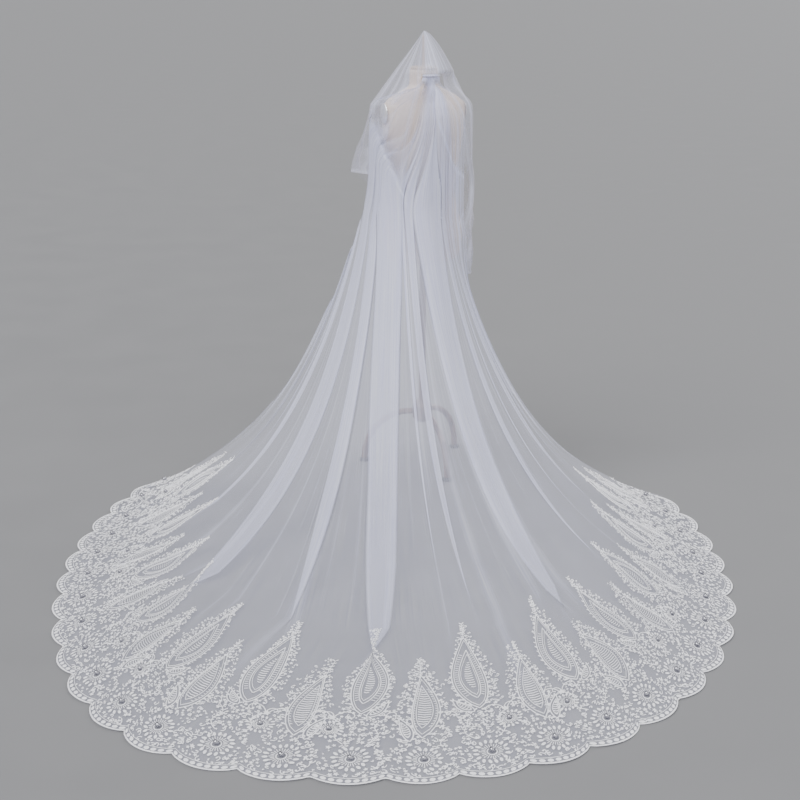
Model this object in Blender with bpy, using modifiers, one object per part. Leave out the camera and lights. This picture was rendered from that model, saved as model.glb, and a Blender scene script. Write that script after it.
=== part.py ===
"""Bridal veil of soft net on a limbless dress form with a tripod stand.

Metres, +Z up. The origin is on the floor under the middle of the whole object.
The train spreads towards -Y. Azimuths are in degrees around the form's axis,
0 towards -Y and 90 towards +X, so the form's back, where the comb is, looks to BACK_AZIMUTH.
"""

import math

import bmesh
import bpy
import numpy as np
from mathutils import Matrix, Vector

OBJECT_NAME = "bridal_veil_on_dress_form"

# General
SEAM_GAP = 0.0003
NET_WALL = 0.0015
LACE_WALL = 0.0012
LACE_SEAT = 0.0008
FLOOR = 0.0

# Places of the form and the train
HEM_HALF_WIDTH = 1.028
HEM_HALF_LENGTH = 1.303
HEM_POWER = 2.1
HEM_TO_AXIS = 0.929
HEM_X = 0.000
SCALLOP_DEPTH = 0.030
SCALLOP_COUNT = 29
LEG_REACH = 0.225
FOOT_RADIUS = 0.020
FORM_X = 0.102
FORM_Y = 1.0344
HEM_START = -125.4
HEM_END = 119.9
FULL_SIDE = (-31.0, 21.0, 0.050)
BACK_AZIMUTH = 28.0

# Dress form: height, half width, depth to the front, depth to the back, squareness
FORM_SECTIONS = np.array([
    (0.800, 0.122, 0.092, 0.092, 2.30),
    (0.812, 0.135, 0.103, 0.103, 2.30),
    (0.850, 0.146, 0.112, 0.113, 2.30),
    (0.900, 0.148, 0.114, 0.116, 2.30),
    (0.960, 0.138, 0.106, 0.106, 2.30),
    (1.020, 0.122, 0.096, 0.090, 2.30),
    (1.065, 0.117, 0.094, 0.086, 2.30),
    (1.120, 0.124, 0.104, 0.090, 2.30),
    (1.180, 0.137, 0.122, 0.096, 2.30),
    (1.230, 0.146, 0.128, 0.101, 2.30),
    (1.285, 0.152, 0.112, 0.104, 2.30),
    (1.330, 0.162, 0.092, 0.098, 2.30),
    (1.365, 0.160, 0.076, 0.084, 2.30),
    (1.388, 0.137, 0.066, 0.072, 2.30),
    (1.405, 0.105, 0.060, 0.064, 2.30),
    (1.418, 0.076, 0.055, 0.058, 2.15),
    (1.428, 0.057, 0.052, 0.053, 2.00),
    (1.437, 0.052, 0.052, 0.052, 2.00),
    (1.487, 0.052, 0.052, 0.052, 2.00),
])
NECK_RADIUS = 0.052
NECK_TOP = 1.487
NECK_CAP_HEIGHT = 0.010
SHOULDER_PLATE_HEIGHT = 1.338
SHOULDER_PLATE_HALF = (0.029, 0.036)
SHOULDER_PLATE_DOME = 0.007
PEAK_HEIGHT = 1.620
ROD_RADIUS = 0.006
ROD_TO_NET = 0.0012

# Stand
POLE_RADIUS = 0.0125
HUB_TOP = 0.255
HUB_BOTTOM = 0.165
HUB_RADIUS = 0.036
LEG_RADIUS = 0.0115
LEG_TOP = 0.208
LEG_SEAT = 0.0016
LEG_AZIMUTHS = (24.0, 144.0, 264.0)
FOOT_HEIGHT = 0.010

# Comb and gathering band
COMB_SPREAD = 33.0
COMB_THICKNESS = 0.0025
COMB_BAR_HEIGHT = 0.009
COMB_TOOTH_LENGTH = 0.025
COMB_TEETH = 14
BAND_HEIGHT = 0.0115
BAND_BOTTOM = 1.4620
BAND_INNER = NECK_RADIUS + SEAM_GAP + COMB_THICKNESS + SEAM_GAP
BAND_DEPTH = 0.011
GATHER_RADIUS = BAND_INNER + BAND_DEPTH / 2

# Long layer ribs: azimuth, waist radius, waist height, spread length, floor drop
LONG_RIBS = np.array([
    (-76.0, 0.243, 0.91, 0.330, 0.060),
    (-45.0, 0.235, 0.91, 0.370, 0.060),
    (-15.0, 0.212, 0.90, 0.450, 0.062),
    (10.0, 0.200, 0.88, 0.470, 0.062),
    (35.0, 0.175, 0.84, 0.400, 0.050),
    (66.0, 0.150, 0.76, 0.262, 0.030),
])
LONG_CLEARANCE = 0.034
LONG_OVER_BLUSHER = 0.010
OVER_RAMP = 22.0
LONG_TOP = BAND_BOTTOM - SEAM_GAP
FAN_HEIGHT = 0.100
GATHER_STEP = 0.0005
FINE_PER_SCALLOP = 4
FINE_CELLS = SCALLOP_COUNT * FINE_PER_SCALLOP
COARSE_CELLS = FINE_CELLS // 2

# Folded bands of the long layer: azimuth, width at one metre from the axis, lift
FOLD_BANDS = np.array([
    (-66.0, 0.030, 0.006),
    (-57.0, 0.028, 0.006),
    (-46.0, 0.034, 0.007),
    (-31.0, 0.115, 0.009),
    (-15.0, 0.060, 0.008),
    (-5.0, 0.080, 0.010),
    (6.0, 0.022, 0.006),
    (17.0, 0.085, 0.009),
    (28.0, 0.032, 0.007),
    (40.0, 0.034, 0.007),
    (53.0, 0.028, 0.006),
])
FOLD_SLOPE = 0.009

# Rows of the long layer, as shares of the way from the comb to the border
FALL_ROWS = (0.0, 0.014, 0.030, 0.048, 0.07, 0.10, 0.15, 0.22, 0.30, 0.39)
FLARE_ROWS = (0.39, 0.47, 0.55, 0.64, 0.73, 0.82, 0.91)
TRAIN_ROWS = (0.91, 1.0)
BORDER_ROWS = (0.26, 0.52, 0.76, 1.0)

# Lace border: place along the hem, depth of the band kept for it
BORDER_DEPTH = np.array([
    (0.00, 0.50),
    (0.20, 0.60),
    (0.42, 0.78),
    (0.62, 0.78),
    (0.82, 0.60),
    (1.00, 0.50),
])
LACE_STEPS = (2, 3, 4, 3, 2, 2, 3, 2)
LEAF_RELIEF = 0.0010
CORD_RELIEF = 0.0008

# Blusher
BLUSHER_CLEARANCE = 0.021
SEWN_IN = 0.0115
BLUSHER_CELLS = 40
NEAR_CELLS = 8
NEAR_LEFT = -9.0
NEAR_RIGHT = 64.0
BLUSHER_TOP_ROWS = (0.10, 0.30, 0.55, 0.80)
BLUSHER_ROWS = (0.07, 0.16, 0.27, 0.40, 0.55, 0.70, 0.85, 1.0)
BLUSHER_WAVES = 10

# Blusher by azimuth: cone radius at the shoulder, roundness of the cone, lower edge
BLUSHER_FORM = np.array([
    (-180.0, 0.165, 0.90, 0.900),
    (-135.0, 0.178, 0.95, 1.020),
    (-90.0, 0.188, 1.00, 1.126),
    (-45.0, 0.158, 1.00, 1.105),
    (0.0, 0.110, 1.00, 1.085),
    (28.0, 0.104, 1.00, 0.900),
    (60.0, 0.130, 0.75, 0.750),
    (90.0, 0.158, 0.65, 0.750),
    (135.0, 0.165, 0.80, 0.800),
    (180.0, 0.165, 0.90, 0.900),
])
CONE_BASE = 1.365
LEFT_FLARE = 0.062
RIGHT_OUT = 0.166


def smooth_step(values, low, high):
    """Share from 0 at low to 1 at high, flat at both ends."""
    share = np.clip((np.asarray(values, float) - low) / (high - low), 0.0, 1.0)
    return share * share * (3.0 - 2.0 * share)


def smooth_max(first, second, softness):
    """The larger of two values, rounded where they cross."""
    return 0.5 * (first + second + np.sqrt((first - second) ** 2 + softness ** 2))


def lookup(table, key, column):
    """A column of a table, read at key in the table's first column."""
    return np.interp(key, table[:, 0], table[:, column])


def at_azimuth(azimuth, radius, height):
    """Points around the form's axis, as an array of x, y, z."""
    angle = np.radians(azimuth)
    x = FORM_X + radius * np.sin(angle)
    y = FORM_Y - radius * np.cos(angle)
    return np.stack(np.broadcast_arrays(x, y, height), axis=-1)


def form_radius(azimuth, height):
    """Distance from the axis to the dress form's surface."""
    angle = np.radians(np.asarray(azimuth, float) - BACK_AZIMUTH)
    sideways = np.abs(np.sin(angle))
    backwards = np.cos(angle)
    half_width = lookup(FORM_SECTIONS, height, 1)
    front = lookup(FORM_SECTIONS, height, 2)
    back = lookup(FORM_SECTIONS, height, 3)
    power = lookup(FORM_SECTIONS, height, 4)
    depth = np.where(backwards > 0, back, front)
    terms = (sideways / half_width) ** power + (np.abs(backwards) / depth) ** power
    return terms ** (-1.0 / power)


def hanging_radius(azimuth, height):
    """Widest reach of the form at or above a height, where cloth hangs from it."""
    levels = FORM_SECTIONS[:, 0]
    reach = form_radius(azimuth, height)
    for level in levels:
        above = np.maximum(height, level)
        reach = np.maximum(reach, form_radius(azimuth, above))
    return reach


def hem_line(samples=2001):
    """The floor line of the hem without its scallops, as equal steps of its length."""
    turn = np.radians(np.linspace(HEM_START, HEM_END, samples))
    side = np.abs(np.sin(turn) / HEM_HALF_WIDTH) ** HEM_POWER
    front = np.abs(np.cos(turn) / HEM_HALF_LENGTH) ** HEM_POWER
    radius = (side + front) ** (-1.0 / HEM_POWER)
    middle, spread, extra = FULL_SIDE
    radius = radius * (1.0 + extra * np.exp(-((np.degrees(turn) - middle) / spread) ** 2))
    x = HEM_X + radius * np.sin(turn)
    y = FORM_Y - HEM_TO_AXIS - radius * np.cos(turn)
    length = np.concatenate([[0.0], np.cumsum(np.hypot(np.diff(x), np.diff(y)))])
    return x, y, length / length[-1], length[-1]


def hem_polar():
    """Azimuth and distance from the form's axis along the hem, with places from 0 to 1."""
    x, y, place, _ = hem_line()
    azimuth = np.degrees(np.arctan2(x - FORM_X, FORM_Y - y))
    return place, azimuth, np.hypot(x - FORM_X, y - FORM_Y)


def hem_outward(places):
    """Outward direction on the floor at places along the hem."""
    x, y, place, _ = hem_line()
    tangent = np.stack([np.gradient(x), np.gradient(y)], axis=-1)
    tangent /= np.linalg.norm(tangent, axis=1)[:, None]
    out_x = np.interp(places, place, tangent[:, 1])
    out_y = np.interp(places, place, -tangent[:, 0])
    return np.stack([out_x, out_y, np.zeros_like(out_x)], axis=-1)


def rib_path(azimuth, samples=260):
    """One rib of the long layer from the comb to the hem: azimuths, radii and heights."""
    waist_radius = lookup(LONG_RIBS, azimuth, 1)
    waist_height = lookup(LONG_RIBS, azimuth, 2)
    spread = lookup(LONG_RIBS, azimuth, 3)
    drop = lookup(LONG_RIBS, azimuth, 4)
    place, hem_azimuth, hem_radius = hem_polar()
    reach = np.interp(azimuth, hem_azimuth, hem_radius)
    heights = np.linspace(LONG_TOP, 0.0, samples)
    comb_share = (azimuth - hem_azimuth[0]) / (hem_azimuth[-1] - hem_azimuth[0])
    comb_azimuth = BACK_AZIMUTH + COMB_SPREAD * (2.0 * comb_share - 1.0)
    fan = smooth_step(LONG_TOP - heights, 0.0, FAN_HEIGHT)
    azimuths = comb_azimuth + (azimuth - comb_azimuth) * fan
    clearance = (GATHER_RADIUS - NECK_RADIUS) + (LONG_CLEARANCE - GATHER_RADIUS + NECK_RADIUS) * fan
    hang = hanging_radius(azimuths, heights) + clearance
    flare = waist_radius + spread * np.log((waist_height + drop) / (heights + drop))
    softness = 0.03 * fan
    covered = smooth_step(NEAR_LEFT + OVER_RAMP - azimuths, 0.0, OVER_RAMP)
    covered = covered * smooth_step(LONG_TOP - heights, 0.0, 0.012)
    over = (blusher_radius(azimuths, heights) + LONG_OVER_BLUSHER) * covered
    hang = np.maximum(hang, over)
    flare = hang + (flare - hang) * smooth_step(LONG_TOP - heights, 0.0, 0.030)
    radii = np.minimum(smooth_max(hang, flare, softness), reach)
    end_height = (waist_height + drop) * math.exp(-(reach - waist_radius) / spread) - drop
    if end_height > 0.0:
        outward = np.clip((radii - waist_radius) / (reach - waist_radius), 0.0, 1.0)
        heights = np.maximum(heights - end_height * outward ** 2, 0.0)
    landing = radii[-1]
    if landing < reach - 0.002:
        floor_radii = np.linspace(landing, reach, samples)[1:]
        radii = np.concatenate([radii, floor_radii])
        heights = np.concatenate([heights, np.zeros(samples - 1)])
        azimuths = np.concatenate([azimuths, np.full(samples - 1, azimuth)])
    else:
        inside = radii < reach
        heights = np.concatenate([heights[inside], [0.0]])
        radii = np.concatenate([radii[inside], [reach]])
        azimuths = np.concatenate([azimuths[inside], [azimuth]])
    return azimuths, radii, heights


def border_share(place):
    """Share of a rib's length, from the comb, where the lace border's band begins."""
    return lookup(BORDER_DEPTH, place, 1)


def column_marks():
    """For each coarse column, its fold band and its part in it.

    Parts are 1 for a band's left foot, 2 and 3 for its top edges and 4 for its right foot.
    """
    place, hem_azimuth, _ = hem_polar()
    column_azimuths = np.interp(np.linspace(0.0, 1.0, COARSE_CELLS + 1), place, hem_azimuth)
    band_of = np.full(COARSE_CELLS + 1, -1)
    part_of = np.zeros(COARSE_CELLS + 1, int)
    next_free = 1
    for band, row in enumerate(FOLD_BANDS):
        nearest = int(np.argmin(np.abs(column_azimuths - row[0]))) - 1
        first = max(nearest, next_free)
        for part in range(4):
            band_of[first + part] = band
            part_of[first + part] = part + 1
        next_free = first + 4
    return column_azimuths, band_of, part_of


def row_azimuths(column_azimuths, band_of, part_of, radius, fold):
    """Azimuth of each coarse column on a row, with its bands drawn together by fold."""
    advance = np.diff(column_azimuths)
    folded = advance.copy()
    fixed = np.zeros(len(advance), bool)
    degrees = np.degrees(1.0 / radius)
    for index in range(len(advance)):
        band = band_of[index]
        if band < 0 or band_of[index + 1] != band:
            continue
        part = part_of[index]
        width = FOLD_BANDS[band, 1] * radius ** 0.25 if part == 2 else FOLD_SLOPE * radius ** 0.3
        folded[index] = width * degrees
        fixed[index] = True
    total = column_azimuths[-1] - column_azimuths[0]
    room = total - folded[fixed].sum()
    least = 0.22 * total
    if room < least:
        folded[fixed] *= (total - least) / folded[fixed].sum()
        room = least
    folded[~fixed] *= room / folded[~fixed].sum()
    mixed = advance + (folded - advance) * fold
    return column_azimuths[0] + np.concatenate([[0.0], np.cumsum(mixed)])


class RibCage:
    """The long layer's smooth surface, read by azimuth and share of a rib's length."""

    def __init__(self):
        place, hem_azimuth, _ = hem_polar()
        self.azimuths = np.linspace(hem_azimuth[0], hem_azimuth[-1], 141)
        self.steps = np.linspace(0.0, 1.0, 301)
        self.lengths = np.zeros(len(self.azimuths))
        self.points = np.zeros((len(self.azimuths), len(self.steps), 3))
        for index, azimuth in enumerate(self.azimuths):
            path = at_azimuth(*rib_path(azimuth))
            length = np.concatenate([[0.0], np.cumsum(np.linalg.norm(np.diff(path, axis=0), axis=1))])
            self.lengths[index] = length[-1]
            for axis in range(3):
                self.points[index, :, axis] = np.interp(self.steps * length[-1], length, path[:, axis])

    def at(self, azimuth, share):
        """Points of the surface, mixed from the four nearest of the cage."""
        across = np.interp(azimuth, self.azimuths, np.arange(len(self.azimuths)))
        along = np.clip(share, 0.0, 1.0) * (len(self.steps) - 1)
        column = np.clip(across.astype(int), 0, len(self.azimuths) - 2)
        row = np.clip(along.astype(int), 0, len(self.steps) - 2)
        side = (across - column)[:, None]
        step = (along - row)[:, None]
        low = self.points[column, row] * (1 - step) + self.points[column, row + 1] * step
        high = self.points[column + 1, row] * (1 - step) + self.points[column + 1, row + 1] * step
        return low * (1 - side) + high * side

    def normal(self, azimuth, share):
        """Directions out of the tent, and up on the floor."""
        across = self.at(azimuth + 0.5, share) - self.at(azimuth - 0.5, share)
        along = self.at(azimuth, share + 0.004) - self.at(azimuth, share - 0.004)
        direction = np.cross(across, along) * -1.0
        return direction / np.linalg.norm(direction, axis=1)[:, None]

    def length(self, azimuth):
        """Length of a rib from the comb to the hem."""
        return np.interp(azimuth, self.azimuths, self.lengths)


def long_layer_rows():
    """Inner points and outward directions of every row of the long layer, on fine columns."""
    cage = RibCage()
    column_azimuths, band_of, part_of = column_marks()
    places = np.linspace(0.0, 1.0, FINE_CELLS + 1)
    coarse_places = places[::2]
    lifts = np.where((part_of == 2) | (part_of == 3), FOLD_BANDS[band_of, 2], 0.0)
    shares = list(FALL_ROWS) + list(FLARE_ROWS[1:]) + list(TRAIN_ROWS[1:])
    shares += [1.0 + extra for extra in BORDER_ROWS]
    inner_rows = []
    direction_rows = []
    for share in shares:
        fold = float(smooth_step(share, 0.05, 0.24) * (1.0 - smooth_step(share, 0.80, 1.26)))
        lift = float(smooth_step(share, 0.05, 0.22) * (1.0 - smooth_step(share, 0.74, 1.0)))
        middle = cage.at(np.array([0.0]), np.array([min(share, 1.0) * 0.74]))[0]
        radius = max(math.hypot(middle[0] - FORM_X, middle[1] - FORM_Y), 0.12)
        coarse = row_azimuths(column_azimuths, band_of, part_of, radius, fold)
        azimuths = np.interp(places, coarse_places, coarse)
        raised = np.interp(places, coarse_places, lifts * lift)
        depth_share = np.interp(azimuths, cage.azimuths, cage.lengths)
        begin = 1.0 - border_share(np.interp(azimuths, column_azimuths, coarse_places)) / depth_share
        rib_share = share * begin if share <= 1.0 else begin + (1.0 - begin) * (share - 1.0)
        points = cage.at(azimuths, rib_share)
        directions = cage.normal(azimuths, rib_share)
        level = points - at_azimuth(0.0, 0.0, points[:, 2])
        level /= np.linalg.norm(level, axis=1)[:, None]
        top = 1.0 - smooth_step(share, 0.0, 0.03)
        directions = directions * (1.0 - top) + level * top
        directions /= np.linalg.norm(directions, axis=1)[:, None]
        gather = GATHER_STEP * (1.0 - smooth_step(share, 0.0, 0.12)) * (np.arange(FINE_CELLS + 1) // 2 % 2)
        points = points + directions * (raised + gather)[:, None]
        inner_rows.append(points)
        direction_rows.append(directions)
    scallop = SCALLOP_DEPTH * np.abs(np.sin(np.pi * places * SCALLOP_COUNT)) ** 0.75
    inner_rows[-1] = inner_rows[-1] + hem_outward(places) * scallop[:, None]
    inner = np.array(inner_rows)
    inner[..., 2] = np.maximum(inner[..., 2], FLOOR)
    directions = np.array(direction_rows)
    seam = len(FALL_ROWS) + len(FLARE_ROWS) - 2
    for rows in (inner, directions):
        rows[seam, 1:-1:2] = (rows[seam, 0:-2:2] + rows[seam, 2::2]) / 2
    return inner, directions


def new_material(name, color, roughness, metallic=0.0, alpha=1.0):
    """A Principled material."""
    material = bpy.data.materials.new(name)
    material.use_nodes = True
    shader = material.node_tree.nodes["Principled BSDF"]
    shader.inputs["Base Color"].default_value = (*color, 1.0)
    shader.inputs["Roughness"].default_value = roughness
    shader.inputs["Metallic"].default_value = metallic
    shader.inputs["Alpha"].default_value = alpha
    return material


def place_object(name, mesh, collection, material, smooth=True):
    """A mesh as a named object with its material."""
    item = bpy.data.objects.new(name, mesh)
    collection.objects.link(item)
    item.data.materials.clear()
    item.data.materials.append(material)
    if smooth:
        mesh.shade_smooth()
        mesh.set_sharp_from_angle(angle=math.radians(40.0))
    return item


def wall_mesh(name, outer, inner, cells):
    """A closed wall between two like sets of points, over cells of point numbers."""
    count = len(outer)
    triangles = [(cell[0], cell[k], cell[k + 1]) for cell in cells for k in range(1, len(cell) - 1)]
    faces = list(triangles)
    faces += [tuple(count + corner for corner in reversed(triangle)) for triangle in triangles]
    edges = {(triangle[k], triangle[(k + 1) % 3]) for triangle in triangles for k in range(3)}
    for first, second in sorted(edges):
        if (second, first) not in edges:
            faces.append((second, first, count + first))
            faces.append((second, count + first, count + second))
    model = bmesh.new()
    points = [model.verts.new(point) for point in np.concatenate([outer, inner])]
    for face in faces:
        model.faces.new([points[corner] for corner in face])
    loose = [vertex for vertex in model.verts if not vertex.link_faces]
    bmesh.ops.delete(model, geom=loose, context="VERTS")
    mesh = bpy.data.meshes.new(name)
    model.to_mesh(mesh)
    model.free()
    return mesh


def coarse_cell(row, column):
    """A cell between coarse columns, split from its first corner to its third."""
    here = row * (COARSE_CELLS + 1) + column
    below = here + COARSE_CELLS + 1
    return (here, below, below + 1, here + 1)


def fine_cell(row, column):
    """A cell between fine columns, split along the slope of the lace's pointed outline."""
    here = row * (FINE_CELLS + 1) + column
    below = here + FINE_CELLS + 1
    left = LACE_STEPS[column % len(LACE_STEPS)]
    right = LACE_STEPS[(column + 1) % len(LACE_STEPS)]
    if right > left:
        return (below, below + 1, here + 1, here)
    return (here, below, below + 1, here + 1)


def trimmed(points, at_start, at_end):
    """Rows of points with the first and last drawn in by half a seam."""
    rows = points.copy()
    if at_start:
        step = rows[1] - rows[0]
        rows[0] += step / np.linalg.norm(step, axis=-1, keepdims=True) * SEAM_GAP
    if at_end:
        step = rows[-2] - rows[-1]
        rows[-1] += step / np.linalg.norm(step, axis=-1, keepdims=True) * SEAM_GAP
    return rows


def long_layer_piece(name, inner, directions, first, last, fine, collection, material):
    """One stretch of the long layer between two rows."""
    step = 1 if fine else 2
    rows = inner[first:last + 1, ::step]
    ways = directions[first:last + 1, ::step]
    rows = trimmed(rows, first > 0, False)
    outer = rows + ways * NET_WALL
    columns = FINE_CELLS if fine else COARSE_CELLS
    cell = fine_cell if fine else coarse_cell
    cells = [cell(row, column) for row in range(last - first) for column in range(columns)]
    mesh = wall_mesh(name, outer.reshape(-1, 3), rows.reshape(-1, 3), cells)
    return place_object(name, mesh, collection, material)


def lace_border(inner, directions, collection, material):
    """The embroidered edging, made from the train's outer points moved out."""
    first = len(FALL_ROWS) + len(FLARE_ROWS) - 1
    seat = inner[first:] + directions[first:] * (NET_WALL + LACE_SEAT)
    leaf = np.abs(np.sin(np.pi * np.linspace(0.0, 1.0, FINE_CELLS + 1) * SCALLOP_COUNT)) ** 2
    relief = np.tile(LEAF_RELIEF * leaf, (len(seat), 1))
    relief[0] = 0.0
    relief[-1] = CORD_RELIEF
    face = seat + directions[first:] * (LACE_WALL + relief)[:, :, None]
    cells = []
    for row in range(len(BORDER_ROWS)):
        for column in range(FINE_CELLS):
            needed = len(BORDER_ROWS) - row
            left = LACE_STEPS[column % len(LACE_STEPS)] >= needed
            right = LACE_STEPS[(column + 1) % len(LACE_STEPS)] >= needed
            cell = fine_cell(row, column)
            if left and right:
                cells.append(cell)
            elif (left or right) and needed == 1 + min(
                    LACE_STEPS[column % len(LACE_STEPS)], LACE_STEPS[(column + 1) % len(LACE_STEPS)]):
                cells.append(cell[:3])
    mesh = wall_mesh("lace_border", face.reshape(-1, 3), seat.reshape(-1, 3), cells)
    return place_object("lace_border", mesh, collection, material)


def blusher_radius(azimuth, height):
    """Reach of the blusher from the form's axis."""
    turned = (np.asarray(azimuth, float) + 180.0) % 360.0 - 180.0
    base = lookup(BLUSHER_FORM, turned, 1)
    roundness = lookup(BLUSHER_FORM, turned, 2)
    fallen = np.clip((PEAK_HEIGHT - height) / (PEAK_HEIGHT - CONE_BASE), 0.0, None)
    cone = base * np.minimum(fallen, 1.0) ** roundness
    over_neck = smooth_step(height, NECK_TOP + 0.004, NECK_TOP + 0.05)
    sewn = (1.0 - smooth_step(-turned, 12.0, 30.0)) * (1.0 - smooth_step(turned, 66.0, 84.0))
    sewn = sewn * smooth_step(height, BAND_BOTTOM - 0.006, BAND_BOTTOM + BAND_HEIGHT)
    clearance = BLUSHER_CLEARANCE - SEWN_IN * sewn
    hang = (hanging_radius(turned, height) + clearance) * (1.0 - over_neck)
    left = smooth_step(-turned, 78.0, 92.0) * (1.0 - smooth_step(-turned, 130.0, 178.0))
    flare = LEFT_FLARE * left * smooth_step(CONE_BASE - height, -0.02, 0.26)
    right = smooth_step(turned, 72.0, 96.0) * (1.0 - smooth_step(turned, 120.0, 165.0))
    below = smooth_step(CONE_BASE + 0.06 - height, 0.0, 0.16)
    hang = hang + np.maximum(RIGHT_OUT - hang, 0.0) * right * below
    near_comb = 1.0 - smooth_step(-turned, 15.0, 65.0) - smooth_step(turned, 66.0, 108.0)
    near_comb = near_comb * smooth_step(NECK_TOP - height, 0.0, 0.03)
    cone = cone + (np.minimum(hang, cone) - cone) * near_comb
    return smooth_max(cone, hang, 0.004) + flare


def blusher(collection, material):
    """The short layer: round above the comb, open below it on the near side."""
    near_bottom = BAND_BOTTOM + BAND_HEIGHT + SEAM_GAP + NET_WALL * 0.6
    columns = BLUSHER_CELLS + NEAR_CELLS
    share = np.linspace(0.0, 1.0, BLUSHER_CELLS + 1)
    near_share = np.linspace(0.0, 1.0, NEAR_CELLS + 1)[1:-1]
    rows = []
    top = PEAK_HEIGHT - (PEAK_HEIGHT - near_bottom) * np.array(BLUSHER_TOP_ROWS + (1.0,))
    for height in top:
        round_azimuths = NEAR_LEFT - (360.0 - (NEAR_RIGHT - NEAR_LEFT)) * share
        near_azimuths = round_azimuths[-1] - (NEAR_RIGHT - NEAR_LEFT) * near_share
        azimuths = np.concatenate([round_azimuths, near_azimuths])
        heights = np.full(len(azimuths), height)
        rows.append((azimuths, heights))
    edge_azimuths = NEAR_LEFT - (360.0 - (NEAR_RIGHT - NEAR_LEFT)) * share
    turned = (edge_azimuths + 180.0) % 360.0 - 180.0
    bottoms = lookup(BLUSHER_FORM, turned, 3)
    for fraction in BLUSHER_ROWS:
        heights = near_bottom + (bottoms - near_bottom) * fraction
        fallen = near_bottom - heights
        left_edge = NEAR_LEFT - 18.0 * smooth_step(fallen[0], 0.0, 0.38)
        right_edge = NEAR_RIGHT - 360.0 + 8.0 * smooth_step(fallen[-1], 0.0, 0.30)
        azimuths = left_edge + (right_edge - left_edge) * share
        rows.append((azimuths, heights))
    outer = []
    starts = []
    wave = 0.5 - 0.5 * np.cos(2.0 * np.pi * BLUSHER_WAVES * share)
    for azimuths, heights in rows:
        radii = blusher_radius(azimuths, heights)
        depth = smooth_step(PEAK_HEIGHT - heights, 0.06, 0.60)
        size = np.zeros(len(azimuths))
        size[:BLUSHER_CELLS + 1] = wave * depth[:BLUSHER_CELLS + 1]
        near = (azimuths > -82.0)
        radii = radii + size * np.where(near, 0.004, 0.014)
        starts.append(sum(len(block) for block in outer))
        outer.append(at_azimuth(azimuths, radii, heights))
    points = np.concatenate(outer)
    axis_line = at_azimuth(0.0, 0.0, 0.0)
    inward = points - axis_line
    fallen = PEAK_HEIGHT - points[:, 2]
    slope = 0.75 * (1.0 - smooth_step(fallen, 0.10, 0.32))
    inward[:, 2] = 0.0
    inward /= np.linalg.norm(inward, axis=1)[:, None]
    ways = inward + np.array([0.0, 0.0, 1.0]) * slope[:, None]
    ways /= np.linalg.norm(ways, axis=1)[:, None]
    peak = at_azimuth(0.0, 0.0, PEAK_HEIGHT)
    outer_points = np.concatenate([points, [peak]])
    inner_points = np.concatenate([points - ways * NET_WALL, [peak - [0.0, 0.0, NET_WALL * 1.4]]])
    apex = len(points)
    cells = []
    ring = columns
    for column in range(ring):
        cells.append((apex, (column + 1) % ring, column))
    for row in range(len(top) - 1):
        for column in range(ring):
            here = starts[row] + column
            beside = starts[row] + (column + 1) % ring
            below = starts[row + 1] + column
            below_beside = starts[row + 1] + (column + 1) % ring
            cells.append((here, beside, below_beside, below))
    for row in range(len(top) - 1, len(rows) - 1):
        for column in range(BLUSHER_CELLS):
            here = starts[row] + column
            below = starts[row + 1] + column
            cells.append((here, here + 1, below + 1, below))
    mesh = wall_mesh("blusher", outer_points, inner_points, cells)
    return place_object("blusher", mesh, collection, material)


def dress_form(collection, material):
    """Torso and neck, lofted through the form's sections."""
    sides = 32
    ring = np.arange(sides) * 360.0 / sides
    model = bmesh.new()
    loops = []
    for level in FORM_SECTIONS[:, 0]:
        points = at_azimuth(ring, form_radius(ring, level), level)
        loops.append([model.verts.new(point) for point in points])
    for lower, upper in zip(loops, loops[1:]):
        for side in range(sides):
            beside = (side + 1) % sides
            model.faces.new((lower[side], lower[beside], upper[beside], upper[side]))
    model.faces.new(list(reversed(loops[0])))
    model.faces.new(loops[-1])
    bmesh.ops.recalc_face_normals(model, faces=model.faces[:])
    mesh = bpy.data.meshes.new("dress_form")
    model.to_mesh(mesh)
    model.free()
    return place_object("dress_form", mesh, collection, material)


def turned_piece(name, profile, collection, material, steps=24):
    """A piece turned about the form's axis, from its outer side's radii and heights, top first."""
    mesh = bpy.data.meshes.new(name)
    points = [(radius, 0.0, height) for radius, height in profile]
    mesh.from_pydata(points, [(index, index + 1) for index in range(len(points) - 1)], [])
    item = place_object(name, mesh, collection, material, smooth=False)
    item.location = (FORM_X, FORM_Y, 0.0)
    screw = item.modifiers.new("turn", "SCREW")
    screw.steps = steps
    screw.render_steps = steps
    screw.use_merge_vertices = True
    screw.merge_threshold = 0.0001
    screw.use_smooth_shade = True
    return item


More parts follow.
